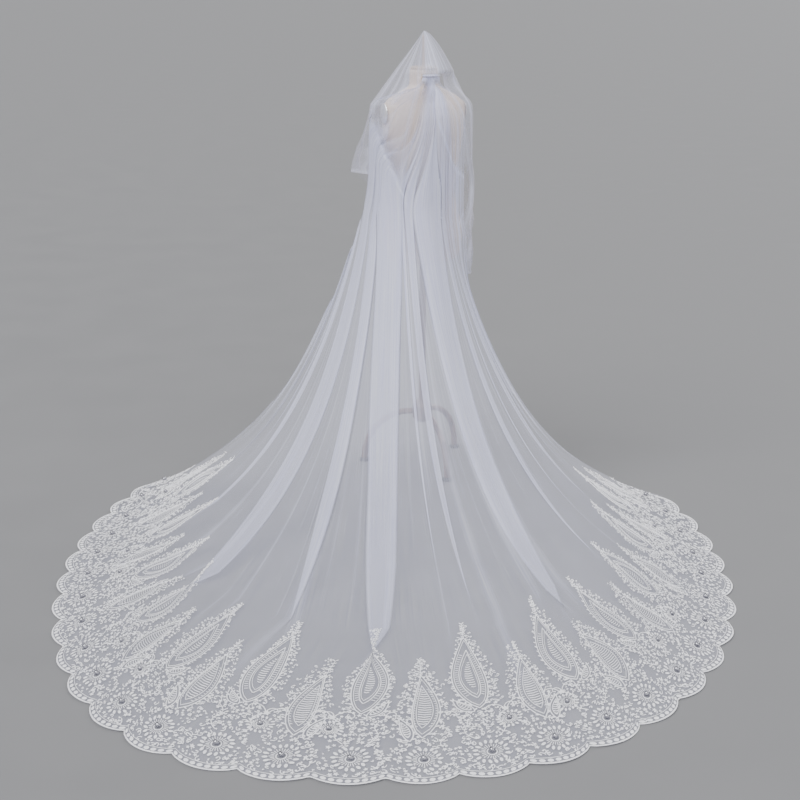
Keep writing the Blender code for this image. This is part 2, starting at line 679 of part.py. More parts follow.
def shoulder_plate(name, side, collection, material):
    """A domed oval plate over an arm's end of the form."""
    model = bmesh.new()
    bmesh.ops.create_uvsphere(model, u_segments=16, v_segments=8, radius=1.0)
    hidden = [vertex for vertex in model.verts if vertex.co.z < -0.01]
    bmesh.ops.delete(model, geom=hidden, context="VERTS")
    rim = [edge for edge in model.edges if edge.is_boundary]
    bmesh.ops.contextual_create(model, geom=rim)
    bmesh.ops.recalc_face_normals(model, faces=model.faces[:])
    mesh = bpy.data.meshes.new(name)
    model.to_mesh(mesh)
    model.free()
    azimuth = BACK_AZIMUTH + 90.0 * side
    seat = float(form_radius(azimuth, SHOULDER_PLATE_HEIGHT)) - SEAM_GAP
    outward = Vector((math.sin(math.radians(azimuth)), -math.cos(math.radians(azimuth)), 0.0))
    along = Vector((-outward.y, outward.x, 0.0))
    turn = Matrix((along, Vector((0.0, 0.0, 1.0)), outward)).transposed().to_4x4()
    scale = Matrix.Diagonal((*SHOULDER_PLATE_HALF, SHOULDER_PLATE_DOME, 1.0))
    centre = Vector((FORM_X, FORM_Y, SHOULDER_PLATE_HEIGHT)) + outward * seat
    mesh.transform(Matrix.Translation(centre) @ turn @ scale)
    if turn.determinant() < 0:
        mesh.flip_normals()
    return place_object(name, mesh, collection, material)


def comb(collection, material):
    """A comb bent around the back of the neck, its outline worked out tooth by tooth."""
    top = BAND_BOTTOM + BAND_HEIGHT
    bar_bottom = top - COMB_BAR_HEIGHT
    tip = bar_bottom - COMB_TOOTH_LENGTH
    left = BACK_AZIMUTH - COMB_SPREAD
    pitch = 2.0 * COMB_SPREAD / COMB_TEETH
    inner = NECK_RADIUS + SEAM_GAP
    upper = []
    model = bmesh.new()
    columns = []
    for tooth in range(COMB_TEETH):
        start = left + pitch * tooth
        columns.append((start, start + pitch * 0.45, True))
        if tooth < COMB_TEETH - 1:
            columns.append((start + pitch * 0.45, start + pitch, False))
    stations = [columns[0][0]] + [column[1] for column in columns]
    for station in stations:
        ring = []
        for height in (top, bar_bottom, tip):
            for radius in (inner, inner + COMB_THICKNESS):
                ring.append(model.verts.new(at_azimuth(station, radius, height)))
        upper.append(ring)
    for index, column in enumerate(columns):
        here = upper[index]
        there = upper[index + 1]
        is_tooth = column[2]
        model.faces.new((here[0], there[0], there[1], here[1]))
        model.faces.new((here[1], there[1], there[3], here[3]))
        model.faces.new((here[0], here[2], there[2], there[0]))
        if is_tooth:
            model.faces.new((here[3], there[3], there[5], here[5]))
            model.faces.new((here[2], here[4], there[4], there[2]))
            model.faces.new((here[4], here[5], there[5], there[4]))
            model.faces.new((here[2], here[3], here[5], here[4]))
            model.faces.new((there[2], there[4], there[5], there[3]))
        else:
            model.faces.new((here[2], here[3], there[3], there[2]))
    for ring in (upper[0], upper[-1]):
        model.faces.new((ring[0], ring[1], ring[3], ring[2]))
    loose = [vertex for vertex in model.verts if not vertex.link_faces]
    bmesh.ops.delete(model, geom=loose, context="VERTS")
    bmesh.ops.recalc_face_normals(model, faces=model.faces[:])
    mesh = bpy.data.meshes.new("comb")
    model.to_mesh(mesh)
    model.free()
    return place_object("comb", mesh, collection, material, smooth=False)


def gathering_band(collection, material):
    """The bound and gathered top edge, a crimped strip around the comb."""
    crimps = 16
    stations = crimps * 2 + 1
    spread = COMB_SPREAD + 3.0
    azimuths = np.linspace(BACK_AZIMUTH - spread, BACK_AZIMUTH + spread, stations)
    crimp = np.where(np.arange(stations) % 2 == 0, 0.0, 0.0016)
    model = bmesh.new()
    rings = []
    for azimuth, bump in zip(azimuths, crimp):
        deep = BAND_INNER + BAND_DEPTH - 0.0016 + bump
        corners = (
            (BAND_INNER, BAND_BOTTOM),
            (deep - 0.003, BAND_BOTTOM),
            (deep, BAND_BOTTOM + BAND_HEIGHT * 0.5),
            (deep - 0.003, BAND_BOTTOM + BAND_HEIGHT),
            (BAND_INNER, BAND_BOTTOM + BAND_HEIGHT),
        )
        rings.append([model.verts.new(at_azimuth(azimuth, radius, height)) for radius, height in corners])
    for here, there in zip(rings, rings[1:]):
        for index in range(5):
            following = (index + 1) % 5
            model.faces.new((here[index], there[index], there[following], here[following]))
    model.faces.new(rings[0])
    model.faces.new(rings[-1])
    bmesh.ops.recalc_face_normals(model, faces=model.faces[:])
    mesh = bpy.data.meshes.new("gathering_band")
    model.to_mesh(mesh)
    model.free()
    return place_object("gathering_band", mesh, collection, material)


def stand_leg(name, azimuth, collection, material):
    """One curved leg, from the hub out and down to its foot pad."""
    start_radius = HUB_RADIUS + LEG_SEAT
    end_height = FOOT_HEIGHT + LEG_SEAT
    points = []
    for share in np.linspace(0.0, 1.0, 8):
        radius = start_radius + (LEG_REACH - start_radius) * math.sin(share * math.pi / 2)
        height = end_height + (LEG_TOP - end_height) * math.cos(share * math.pi / 2)
        points.append(at_azimuth(azimuth, radius, height))
    curve = bpy.data.curves.new(name, "CURVE")
    curve.dimensions = "3D"
    curve.bevel_depth = LEG_RADIUS
    curve.bevel_resolution = 2
    curve.use_fill_caps = True
    spline = curve.splines.new("POLY")
    spline.points.add(len(points) - 1)
    for slot, point in zip(spline.points, points):
        slot.co = (*point, 1.0)
    item = bpy.data.objects.new(name, curve)
    collection.objects.link(item)
    curve.materials.append(material)
    return item


def foot_pad(name, azimuth, collection, material):
    """A flat round pad under a leg."""
    model = bmesh.new()
    bmesh.ops.create_cone(model, cap_ends=True, segments=16, radius1=FOOT_RADIUS,
                          radius2=FOOT_RADIUS * 0.85, depth=FOOT_HEIGHT)
    mesh = bpy.data.meshes.new(name)
    model.to_mesh(mesh)
    model.free()
    centre = at_azimuth(azimuth, LEG_REACH, FOOT_HEIGHT / 2)
    item = place_object(name, mesh, collection, material)
    item.location = Vector([float(value) for value in centre])
    return item


def arc_profile(centre, radius, start, end, steps):
    """Points of an arc in a turned profile, as radius and height."""
    points = []
    for step in range(steps + 1):
        angle = math.radians(start + (end - start) * step / steps)
        points.append((radius * math.cos(angle), centre + radius * math.sin(angle)))
    return points


def main():
    """Build every piece."""
    for item in list(bpy.data.objects):
        bpy.data.objects.remove(item, do_unlink=True)
    collection = bpy.data.collections.new(OBJECT_NAME)
    bpy.context.scene.collection.children.link(collection)

    net = new_material("net", (0.86, 0.86, 0.93), 0.75, alpha=0.6)
    lace = new_material("lace", (0.92, 0.91, 0.95), 0.6)
    cream = new_material("cream_cloth", (0.82, 0.74, 0.66), 0.8)
    silver = new_material("silver", (0.75, 0.75, 0.78), 0.25, metallic=1.0)
    wood = new_material("wood", (0.20, 0.10, 0.06), 0.45)
    pale_wood = new_material("pale_wood", (0.60, 0.48, 0.37), 0.45)
    rubber = new_material("rubber", (0.05, 0.05, 0.05), 0.8)

    inner, directions = long_layer_rows()
    fall_end = len(FALL_ROWS) - 1
    flare_end = fall_end + len(FLARE_ROWS) - 1
    train_end = len(inner) - 1
    long_layer_piece("long_layer_fall", inner, directions, 0, fall_end, False, collection, net)
    long_layer_piece("long_layer_flare", inner, directions, fall_end, flare_end, False, collection, net)
    long_layer_piece("long_layer_train", inner, directions, flare_end, train_end, True, collection, net)
    lace_border(inner, directions, collection, lace)
    blusher(collection, net)
    gathering_band(collection, lace)
    comb(collection, silver)

    dress_form(collection, cream)
    cap_top = NECK_TOP + SEAM_GAP + NECK_CAP_HEIGHT
    turned_piece("neck_cap", [
        (0.0, cap_top),
        (NECK_RADIUS - 0.004, cap_top),
        (NECK_RADIUS, cap_top - 0.004),
        (NECK_RADIUS, NECK_TOP + SEAM_GAP),
        (0.0, NECK_TOP + SEAM_GAP),
    ], collection, pale_wood, steps=32)
    rod_bottom = cap_top + SEAM_GAP
    near_slope = math.atan(lookup(BLUSHER_FORM, BACK_AZIMUTH, 1) / (PEAK_HEIGHT - CONE_BASE))
    tip_centre = PEAK_HEIGHT - (ROD_RADIUS + ROD_TO_NET) / math.sin(near_slope)
    tip = arc_profile(tip_centre, ROD_RADIUS, 90.0, 0.0, 4)
    tip[0] = (0.0, tip_centre + ROD_RADIUS)
    turned_piece("neck_rod", tip + [(ROD_RADIUS, rod_bottom), (0.0, rod_bottom)], collection, pale_wood,
                 steps=14)
    shoulder_plate("shoulder_plate_left", -1, collection, silver)
    shoulder_plate("shoulder_plate_right", 1, collection, silver)

    form_bottom = FORM_SECTIONS[0, 0]
    turned_piece("pole", [
        (0.0, form_bottom - SEAM_GAP),
        (POLE_RADIUS, form_bottom - SEAM_GAP),
        (POLE_RADIUS, HUB_TOP + SEAM_GAP),
        (0.0, HUB_TOP + SEAM_GAP),
    ], collection, wood, steps=16)
    turned_piece("hub", [
        (0.0, HUB_TOP),
        (HUB_RADIUS * 0.55, HUB_TOP),
        (HUB_RADIUS, HUB_TOP - 0.022),
        (HUB_RADIUS, HUB_BOTTOM + 0.020),
        (HUB_RADIUS * 0.6, HUB_BOTTOM + 0.006),
        (HUB_RADIUS * 0.3, HUB_BOTTOM),
        (0.0, HUB_BOTTOM),
    ], collection, wood)
    for number, azimuth in enumerate(LEG_AZIMUTHS, start=1):
        stand_leg(f"leg_{number}", azimuth, collection, wood)
        foot_pad(f"foot_pad_{number}", azimuth, collection, rubber)


main()
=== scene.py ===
"""Looks of a bridal veil on a limbless dress form: sheer net, corded lace, form and stand.

Metres, +Z up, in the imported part's own frame. Azimuths are in degrees around the form's axis,
0 towards -Y and 90 towards +X. A place is from 0 to 1 along the hem, from its left end. A share is
0 at the comb, 1 at the upper edge of the lace and 2 at the hem.
"""

import logging
import math
from collections.abc import Iterable, Sequence
from dataclasses import dataclass, field
from enum import Enum
from typing import Any, NamedTuple

import bpy
import numpy as np
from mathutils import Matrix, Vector


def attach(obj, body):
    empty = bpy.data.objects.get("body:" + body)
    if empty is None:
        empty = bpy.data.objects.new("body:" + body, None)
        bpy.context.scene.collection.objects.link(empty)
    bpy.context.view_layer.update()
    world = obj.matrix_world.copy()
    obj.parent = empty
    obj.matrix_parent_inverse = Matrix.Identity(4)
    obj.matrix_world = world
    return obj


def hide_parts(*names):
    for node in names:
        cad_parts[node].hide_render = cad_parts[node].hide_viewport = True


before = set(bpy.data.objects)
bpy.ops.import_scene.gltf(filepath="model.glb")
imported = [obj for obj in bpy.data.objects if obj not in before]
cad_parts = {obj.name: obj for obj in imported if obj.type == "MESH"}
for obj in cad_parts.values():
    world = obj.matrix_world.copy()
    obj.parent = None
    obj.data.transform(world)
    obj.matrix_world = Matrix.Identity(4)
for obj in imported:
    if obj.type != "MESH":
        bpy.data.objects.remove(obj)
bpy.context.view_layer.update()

log = logging.getLogger("veil")

Array = np.ndarray

FORM_X = 0.102
FORM_Y = 1.0344
BACK_AZIMUTH = 28.0
NET_WALL = 0.0015
PEAK_HEIGHT = 1.620
NECK_TOP = 1.487
NECK_RADIUS = 0.052
BAND_BOTTOM = 1.4620
BAND_HEIGHT = 0.0115
BAND_INNER = 0.0551
GATHER_RADIUS = 0.0606
COMB_SPREAD = 33.0
SCALLOPS = 29
SCALLOP_DEPTH = 0.030
FULL_DEPTH = 0.78


class Held(Enum):
    """How a sheet of cloth is held."""

    GATHERED = "gathered"
    DRAPED = "draped"


class Turn(Enum):
    """The side on which a fold's closed edge lies."""

    LEFT = 1
    RIGHT = -1


class FormSection(NamedTuple):
    """One level of the dress form."""

    height: float
    half_width: float
    front: float
    back: float
    squareness: float


class Rib(NamedTuple):
    """One guide of the long layer's fall."""

    azimuth: float
    waist_radius: float
    waist_height: float
    spread: float
    drop: float


class Fold(NamedTuple):
    """A fold of three layers that runs down the long layer."""

    azimuth: float
    width: float
    lift: float
    end: float
    turn: Turn


class BlusherForm(NamedTuple):
    """The blusher at one azimuth."""

    azimuth: float
    base: float
    roundness: float
    bottom: float


FORM_SECTIONS = (
    FormSection(0.800, 0.122, 0.092, 0.092, 2.30),
    FormSection(0.812, 0.135, 0.103, 0.103, 2.30),
    FormSection(0.850, 0.146, 0.112, 0.113, 2.30),
    FormSection(0.900, 0.148, 0.114, 0.116, 2.30),
    FormSection(0.960, 0.138, 0.106, 0.106, 2.30),
    FormSection(1.020, 0.122, 0.096, 0.090, 2.30),
    FormSection(1.065, 0.117, 0.094, 0.086, 2.30),
    FormSection(1.120, 0.124, 0.104, 0.090, 2.30),
    FormSection(1.180, 0.137, 0.122, 0.096, 2.30),
    FormSection(1.230, 0.146, 0.128, 0.101, 2.30),
    FormSection(1.285, 0.152, 0.112, 0.104, 2.30),
    FormSection(1.330, 0.162, 0.092, 0.098, 2.30),
    FormSection(1.365, 0.160, 0.076, 0.084, 2.30),
    FormSection(1.388, 0.137, 0.066, 0.072, 2.30),
    FormSection(1.405, 0.105, 0.060, 0.064, 2.30),
    FormSection(1.418, 0.076, 0.055, 0.058, 2.15),
    FormSection(1.428, 0.057, 0.052, 0.053, 2.00),
    FormSection(1.437, 0.052, 0.052, 0.052, 2.00),
    FormSection(1.487, 0.052, 0.052, 0.052, 2.00),
)

RIBS = (
    Rib(-76.0, 0.243, 0.91, 0.330, 0.060),
    Rib(-45.0, 0.235, 0.91, 0.370, 0.060),
    Rib(-15.0, 0.212, 0.90, 0.450, 0.062),
    Rib(10.0, 0.200, 0.88, 0.470, 0.062),
    Rib(35.0, 0.175, 0.84, 0.400, 0.050),
    Rib(66.0, 0.150, 0.76, 0.262, 0.030),
)

FOLDS = (
    Fold(-112.0, 0.022, 0.005, 0.90, Turn.LEFT),
    Fold(-103.0, 0.014, 0.004, 0.85, Turn.RIGHT),
    Fold(-95.0, 0.026, 0.005, 0.95, Turn.LEFT),
    Fold(-87.0, 0.016, 0.004, 0.90, Turn.RIGHT),
    Fold(-80.0, 0.020, 0.005, 0.95, Turn.LEFT),
    Fold(-73.5, 0.014, 0.004, 0.92, Turn.RIGHT),
    Fold(-66.0, 0.030, 0.006, 1.08, Turn.LEFT),
    Fold(-57.0, 0.028, 0.006, 1.12, Turn.RIGHT),
    Fold(-51.5, 0.010, 0.004, 0.95, Turn.LEFT),
    Fold(-46.0, 0.034, 0.007, 1.16, Turn.LEFT),
    Fold(-31.0, 0.120, 0.009, 1.24, Turn.LEFT),
    Fold(-15.0, 0.062, 0.008, 1.06, Turn.RIGHT),
    Fold(-5.0, 0.084, 0.010, 1.24, Turn.LEFT),
    Fold(2.8, 0.008, 0.004, 0.90, Turn.RIGHT),
    Fold(6.0, 0.020, 0.006, 1.00, Turn.RIGHT),
    Fold(17.0, 0.088, 0.009, 1.18, Turn.RIGHT),
    Fold(28.0, 0.032, 0.007, 1.10, Turn.LEFT),
    Fold(33.5, 0.012, 0.004, 0.95, Turn.LEFT),
    Fold(40.0, 0.034, 0.007, 1.06, Turn.RIGHT),
    Fold(46.5, 0.014, 0.004, 0.95, Turn.LEFT),
    Fold(53.0, 0.028, 0.006, 1.05, Turn.RIGHT),
    Fold(60.0, 0.016, 0.004, 0.95, Turn.LEFT),
    Fold(67.0, 0.024, 0.005, 1.00, Turn.RIGHT),
    Fold(76.0, 0.014, 0.004, 0.90, Turn.LEFT),
    Fold(85.0, 0.022, 0.005, 0.95, Turn.RIGHT),
    Fold(96.0, 0.016, 0.004, 0.90, Turn.LEFT),
    Fold(106.0, 0.022, 0.005, 0.90, Turn.RIGHT),
)

FOLD_OFFSETS = (
    (-125.0, 0.0), (-100.0, 0.0), (-66.0, 0.10), (-46.0, 0.18), (-31.0, 0.20), (-15.0, 0.22), (-5.0, 0.13),
    (6.0, 0.07), (17.0, 0.03), (28.0, 0.0), (120.0, 0.0),
)

BORDER_DEPTHS = ((0.00, 0.50), (0.20, 0.60), (0.42, 0.78), (0.62, 0.78), (0.82, 0.60), (1.00, 0.50))

SWAG = ((20.0, 1.32), (45.0, 1.155), (64.0, 1.115), (85.0, 1.08))

RIGHT_EDGE = (
    (0.75, 72.0), (0.80, 67.0), (0.866, 77.0), (0.927, 66.0), (1.00, 80.0), (1.075, 90.0), (1.16, 74.0),
    (1.30, 66.0), (1.45, 64.0),
)

BLUSHER_FORMS = (
    BlusherForm(-180.0, 0.165, 0.90, 0.900),
    BlusherForm(-135.0, 0.178, 0.95, 1.020),
    BlusherForm(-90.0, 0.188, 1.00, 1.126),
    BlusherForm(-45.0, 0.158, 1.00, 1.105),
    BlusherForm(0.0, 0.110, 1.00, 1.085),
    BlusherForm(28.0, 0.104, 1.00, 0.900),
    BlusherForm(60.0, 0.130, 0.75, 0.750),
    BlusherForm(90.0, 0.158, 0.65, 0.750),
    BlusherForm(135.0, 0.165, 0.80, 0.800),
    BlusherForm(180.0, 0.165, 0.90, 0.900),
)


def smooth_step(values: Any, low: float, high: float) -> Array:
    """Share from 0 at low to 1 at high, flat at both ends.

    Args:
        values: numbers or an array of them.
        low: where the share leaves 0.
        high: where the share reaches 1.

    Returns:
        The shares.
    """
    share = np.clip((np.asarray(values, float) - low) / (high - low), 0.0, 1.0)
    return share * share * (3.0 - 2.0 * share)


def smooth_max(first: Array, second: Array, softness: Any) -> Array:
    """The larger of two values, rounded where they cross.

    Args:
        first: one set of values.
        second: the other set.
        softness: how wide the rounding is.

    Returns:
        The larger values.
    """
    return 0.5 * (first + second + np.sqrt((first - second) ** 2 + softness ** 2))


def table_array(rows: Sequence[Sequence[float]]) -> Array:
    """A table's rows as an array of numbers.

    Args:
        rows: rows of numbers.

    Returns:
        An array with a row for each.
    """
    return np.array([tuple(row) for row in rows], float)


def at_azimuth(azimuth: Any, radius: Any, height: Any) -> Array:
    """Points around the form's axis.

    Args:
        azimuth: azimuths in degrees.
        radius: distances from the axis.
        height: heights over the floor.

    Returns:
        An array of points.
    """
    angle = np.radians(azimuth)
    x = FORM_X + radius * np.sin(angle)
    y = FORM_Y - radius * np.cos(angle)
    return np.stack(np.broadcast_arrays(x, y, height), axis=-1).astype(float)


def unit(vectors: Array) -> Array:
    """Vectors drawn to a length of 1.

    Args:
        vectors: an array whose last axis is x, y, z.

    Returns:
        The directions.
    """
    return vectors / np.maximum(np.linalg.norm(vectors, axis=-1, keepdims=True), 1e-12)


def grid_normals(points: Array, outward: Array) -> Array:
    """Normals of a grid of points, turned to the side of a given direction.

    Args:
        points: rows by columns of points.
        outward: directions on the side wanted.

    Returns:
        A normal for each point.
    """
    across = np.gradient(points, axis=1)
    along = np.gradient(points, axis=0)
    normal = unit(np.cross(across, along))
    side = np.sign(np.sum(normal * outward, axis=-1, keepdims=True))
    return normal * np.where(side == 0, 1.0, side)


def grid_faces(rows: int, columns: int, closed: bool = False) -> Array:
    """Faces of a grid of points.

    Args:
        rows: number of rows of points.
        columns: number of points in a row.
        closed: True if the last column joins the first.

    Returns:
        An array of four point numbers for each face.
    """
    spans = columns if closed else columns - 1
    row, column = np.meshgrid(np.arange(rows - 1), np.arange(spans), indexing="ij")
    beside = (column + 1) % columns
    here = row * columns + column
    there = row * columns + beside
    return np.stack([here, here + columns, there + columns, there], axis=-1).reshape(-1, 4)


class Value:
    """A shader socket that takes part in Python expressions."""

    def __init__(self, graph: "Graph", socket: bpy.types.NodeSocket) -> None:
        """Wraps a socket.

        Args:
            graph: the graph that the socket belongs to.
            socket: an output socket.
        """
        self.graph = graph
        self.socket = socket

    @property
    def is_vector(self) -> bool:
        """True if the socket carries three numbers."""
        return self.socket.type in {"VECTOR", "RGBA"}

    def _join(self, kind: str, other: Any, swapped: bool = False) -> "Value":
        """Joins this value to another with a Math or Vector Math node.

        Args:
            kind: the node's operation.
            other: a Value, a number or three numbers.
            swapped: True if the other comes first.

        Returns:
            The node's result.
        """
        vector = self.is_vector or getattr(other, "is_vector", False) or isinstance(other, tuple)
        first, second = (other, self) if swapped else (self, other)
        name = "ShaderNodeVectorMath" if vector else "ShaderNodeMath"
        return self.graph.node(name, {"operation": kind}, {0: first, 1: second})[0]

    def __add__(self, other: Any) -> "Value":
        return self._join("ADD", other)

    def __radd__(self, other: Any) -> "Value":
        return self._join("ADD", other, True)

    def __sub__(self, other: Any) -> "Value":
        return self._join("SUBTRACT", other)

    def __rsub__(self, other: Any) -> "Value":
        return self._join("SUBTRACT", other, True)

    def __mul__(self, other: Any) -> "Value":
        return self._join("MULTIPLY", other)

    def __rmul__(self, other: Any) -> "Value":
        return self._join("MULTIPLY", other, True)

    def __truediv__(self, other: Any) -> "Value":
        return self._join("DIVIDE", other)

    def __rtruediv__(self, other: Any) -> "Value":
        return self._join("DIVIDE", other, True)

    def __pow__(self, other: Any) -> "Value":
        return self._join("POWER", other)

    def least(self, other: Any) -> "Value":
        """The smaller of this and another.

        Args:
            other: a Value or a number.

        Returns:
            The smaller value.
        """
        return self._join("MINIMUM", other)

    def most(self, other: Any) -> "Value":
        """The larger of this and another.

        Args:
            other: a Value or a number.

        Returns:
            The larger value.
        """
        return self._join("MAXIMUM", other)


class Graph:
    """A material's node tree, built up with one method for nodes."""

    def __init__(self, name: str) -> None:
        """Makes a material with an empty Principled shader.

        Args:
            name: the material's name.
        """
        self.material = bpy.data.materials.new(name)
        self.material.use_nodes = True
        self.tree = self.material.node_tree
        self.shader = self.tree.nodes["Principled BSDF"]

    def node(self, kind: str, settings: dict[str, Any], inputs: dict[Any, Any]) -> list[Value]:
        """Adds a node.

        Args:
            kind: the node's type.
            settings: values of the node's own properties.
            inputs: what goes into its sockets, by name or number.

        Returns:
            Its outputs.
        """
        made = self.tree.nodes.new(kind)
        for key, value in settings.items():
            setattr(made, key, value)
        for key, value in inputs.items():
            self.feed(made.inputs[key], value)
        return [Value(self, socket) for socket in made.outputs]

    def feed(self, socket: bpy.types.NodeSocket, value: Any) -> None:
        """Links or sets a socket.

        Args:
            socket: an input socket.
            value: a Value, a number or numbers.
        """
        if isinstance(value, Value):
            self.tree.links.new(value.socket, socket)
        elif isinstance(value, tuple) and socket.type == "RGBA" and len(value) == 3:
            socket.default_value = (*value, 1.0)
        else:
            socket.default_value = value

    def noise(self, place: Value, scale: float, detail: float = 2.0) -> Value:
        """Soft noise.

        Args:
            place: where it is read.
            scale: its fineness.
            detail: how many finer layers it has.

        Returns:
            A value near 0.5.
        """
        inputs = {"Vector": place, "Scale": scale, "Detail": detail}
        return self.node("ShaderNodeTexNoise", {}, inputs)[0]

    def ramp(self, value: Value, low: float, high: float) -> Value:
        """A value drawn from between low and high to between 0 and 1.

        Args:
            value: the value.
            low: what becomes 0.
            high: what becomes 1.

        Returns:
            The drawn value.
        """
        inputs = {"Value": value, "From Min": low, "From Max": high}
        return self.node("ShaderNodeMapRange", {"clamp": True}, inputs)[0]

    def mix(self, factor: Value, first: Any, second: Any) -> Value:
        """Two colours mixed.

        Args:
            factor: 0 for the first and 1 for the second.
            first: a colour.
            second: a colour.

        Returns:
            The mixed colour.
        """
        made = self.tree.nodes.new("ShaderNodeMix")
        made.data_type = "RGBA"
        self.feed(made.inputs[0], factor)
        self.feed(made.inputs[6], first)
        self.feed(made.inputs[7], second)
        return Value(self, made.outputs[2])

    def bump(self, height: Value, distance: float, strength: float = 1.0) -> None:
        """Bumps the shader's surface.

        Args:
            height: the height from 0 to 1.
            distance: the height's size in metres.
            strength: how much of it is used.
        """
        inputs = {"Height": height, "Distance": distance, "Strength": strength}
        normal = self.node("ShaderNodeBump", {}, inputs)[0]
        self.tree.links.new(normal.socket, self.shader.inputs["Normal"])

    def set(self, **values: Any) -> None:
        """Feeds the shader's sockets.

        Args:
            **values: what goes into each socket, by its name with underscores.
        """
        for key, value in values.items():
            self.feed(self.shader.inputs[key.replace("_", " ")], value)


@dataclass(frozen=True)
class Finish:
    """The colours and gloss of one material."""

    name: str
    base: tuple[float, float, float]
    second: tuple[float, float, float]
    roughness: float
    metallic: float = 0.0
    sheen: float = 0.0
    coat: float = 0.0

    def begin(self) -> Graph:
        """Starts a material with the constants of this finish.

        Returns:
            The graph to build on.
        """
        graph = Graph(self.name)
        graph.set(Roughness=self.roughness, Metallic=self.metallic, Coat_Weight=self.coat)
        graph.set(Sheen_Weight=self.sheen, Sheen_Roughness=0.4)
        return graph


NET = Finish("net", (0.71, 0.73, 1.00), (0.86, 0.88, 1.00), 0.55, sheen=0.35)
THREAD = Finish("lace_thread", (0.90, 0.90, 0.97), (0.98, 0.98, 1.00), 0.42, sheen=0.3)
JERSEY = Finish("form_jersey", (0.84, 0.69, 0.57), (0.90, 0.78, 0.68), 0.8, sheen=0.3)
SILVER = Finish("silver_plate", (0.88, 0.88, 0.92), (1.00, 1.00, 1.00), 0.30, metallic=0.65)
WOOD = Finish("dark_wood", (0.085, 0.042, 0.027), (0.21, 0.110, 0.068), 0.38, coat=0.3)
PALE_WOOD = Finish("pale_wood", (0.52, 0.40, 0.30), (0.66, 0.54, 0.43), 0.42, coat=0.2)
RUBBER = Finish("pad_rubber", (0.03, 0.03, 0.03), (0.06, 0.06, 0.06), 0.8)
CRYSTAL = Finish("smoky_crystal", (0.16, 0.16, 0.18), (0.62, 0.62, 0.68), 0.10, metallic=0.85)
PEARL = Finish("pearl", (0.80, 0.79, 0.83), (0.97, 0.95, 0.95), 0.18, coat=0.8)
FLOOR = Finish("studio_floor", (0.192, 0.193, 0.200), (0.202, 0.203, 0.210), 0.85)


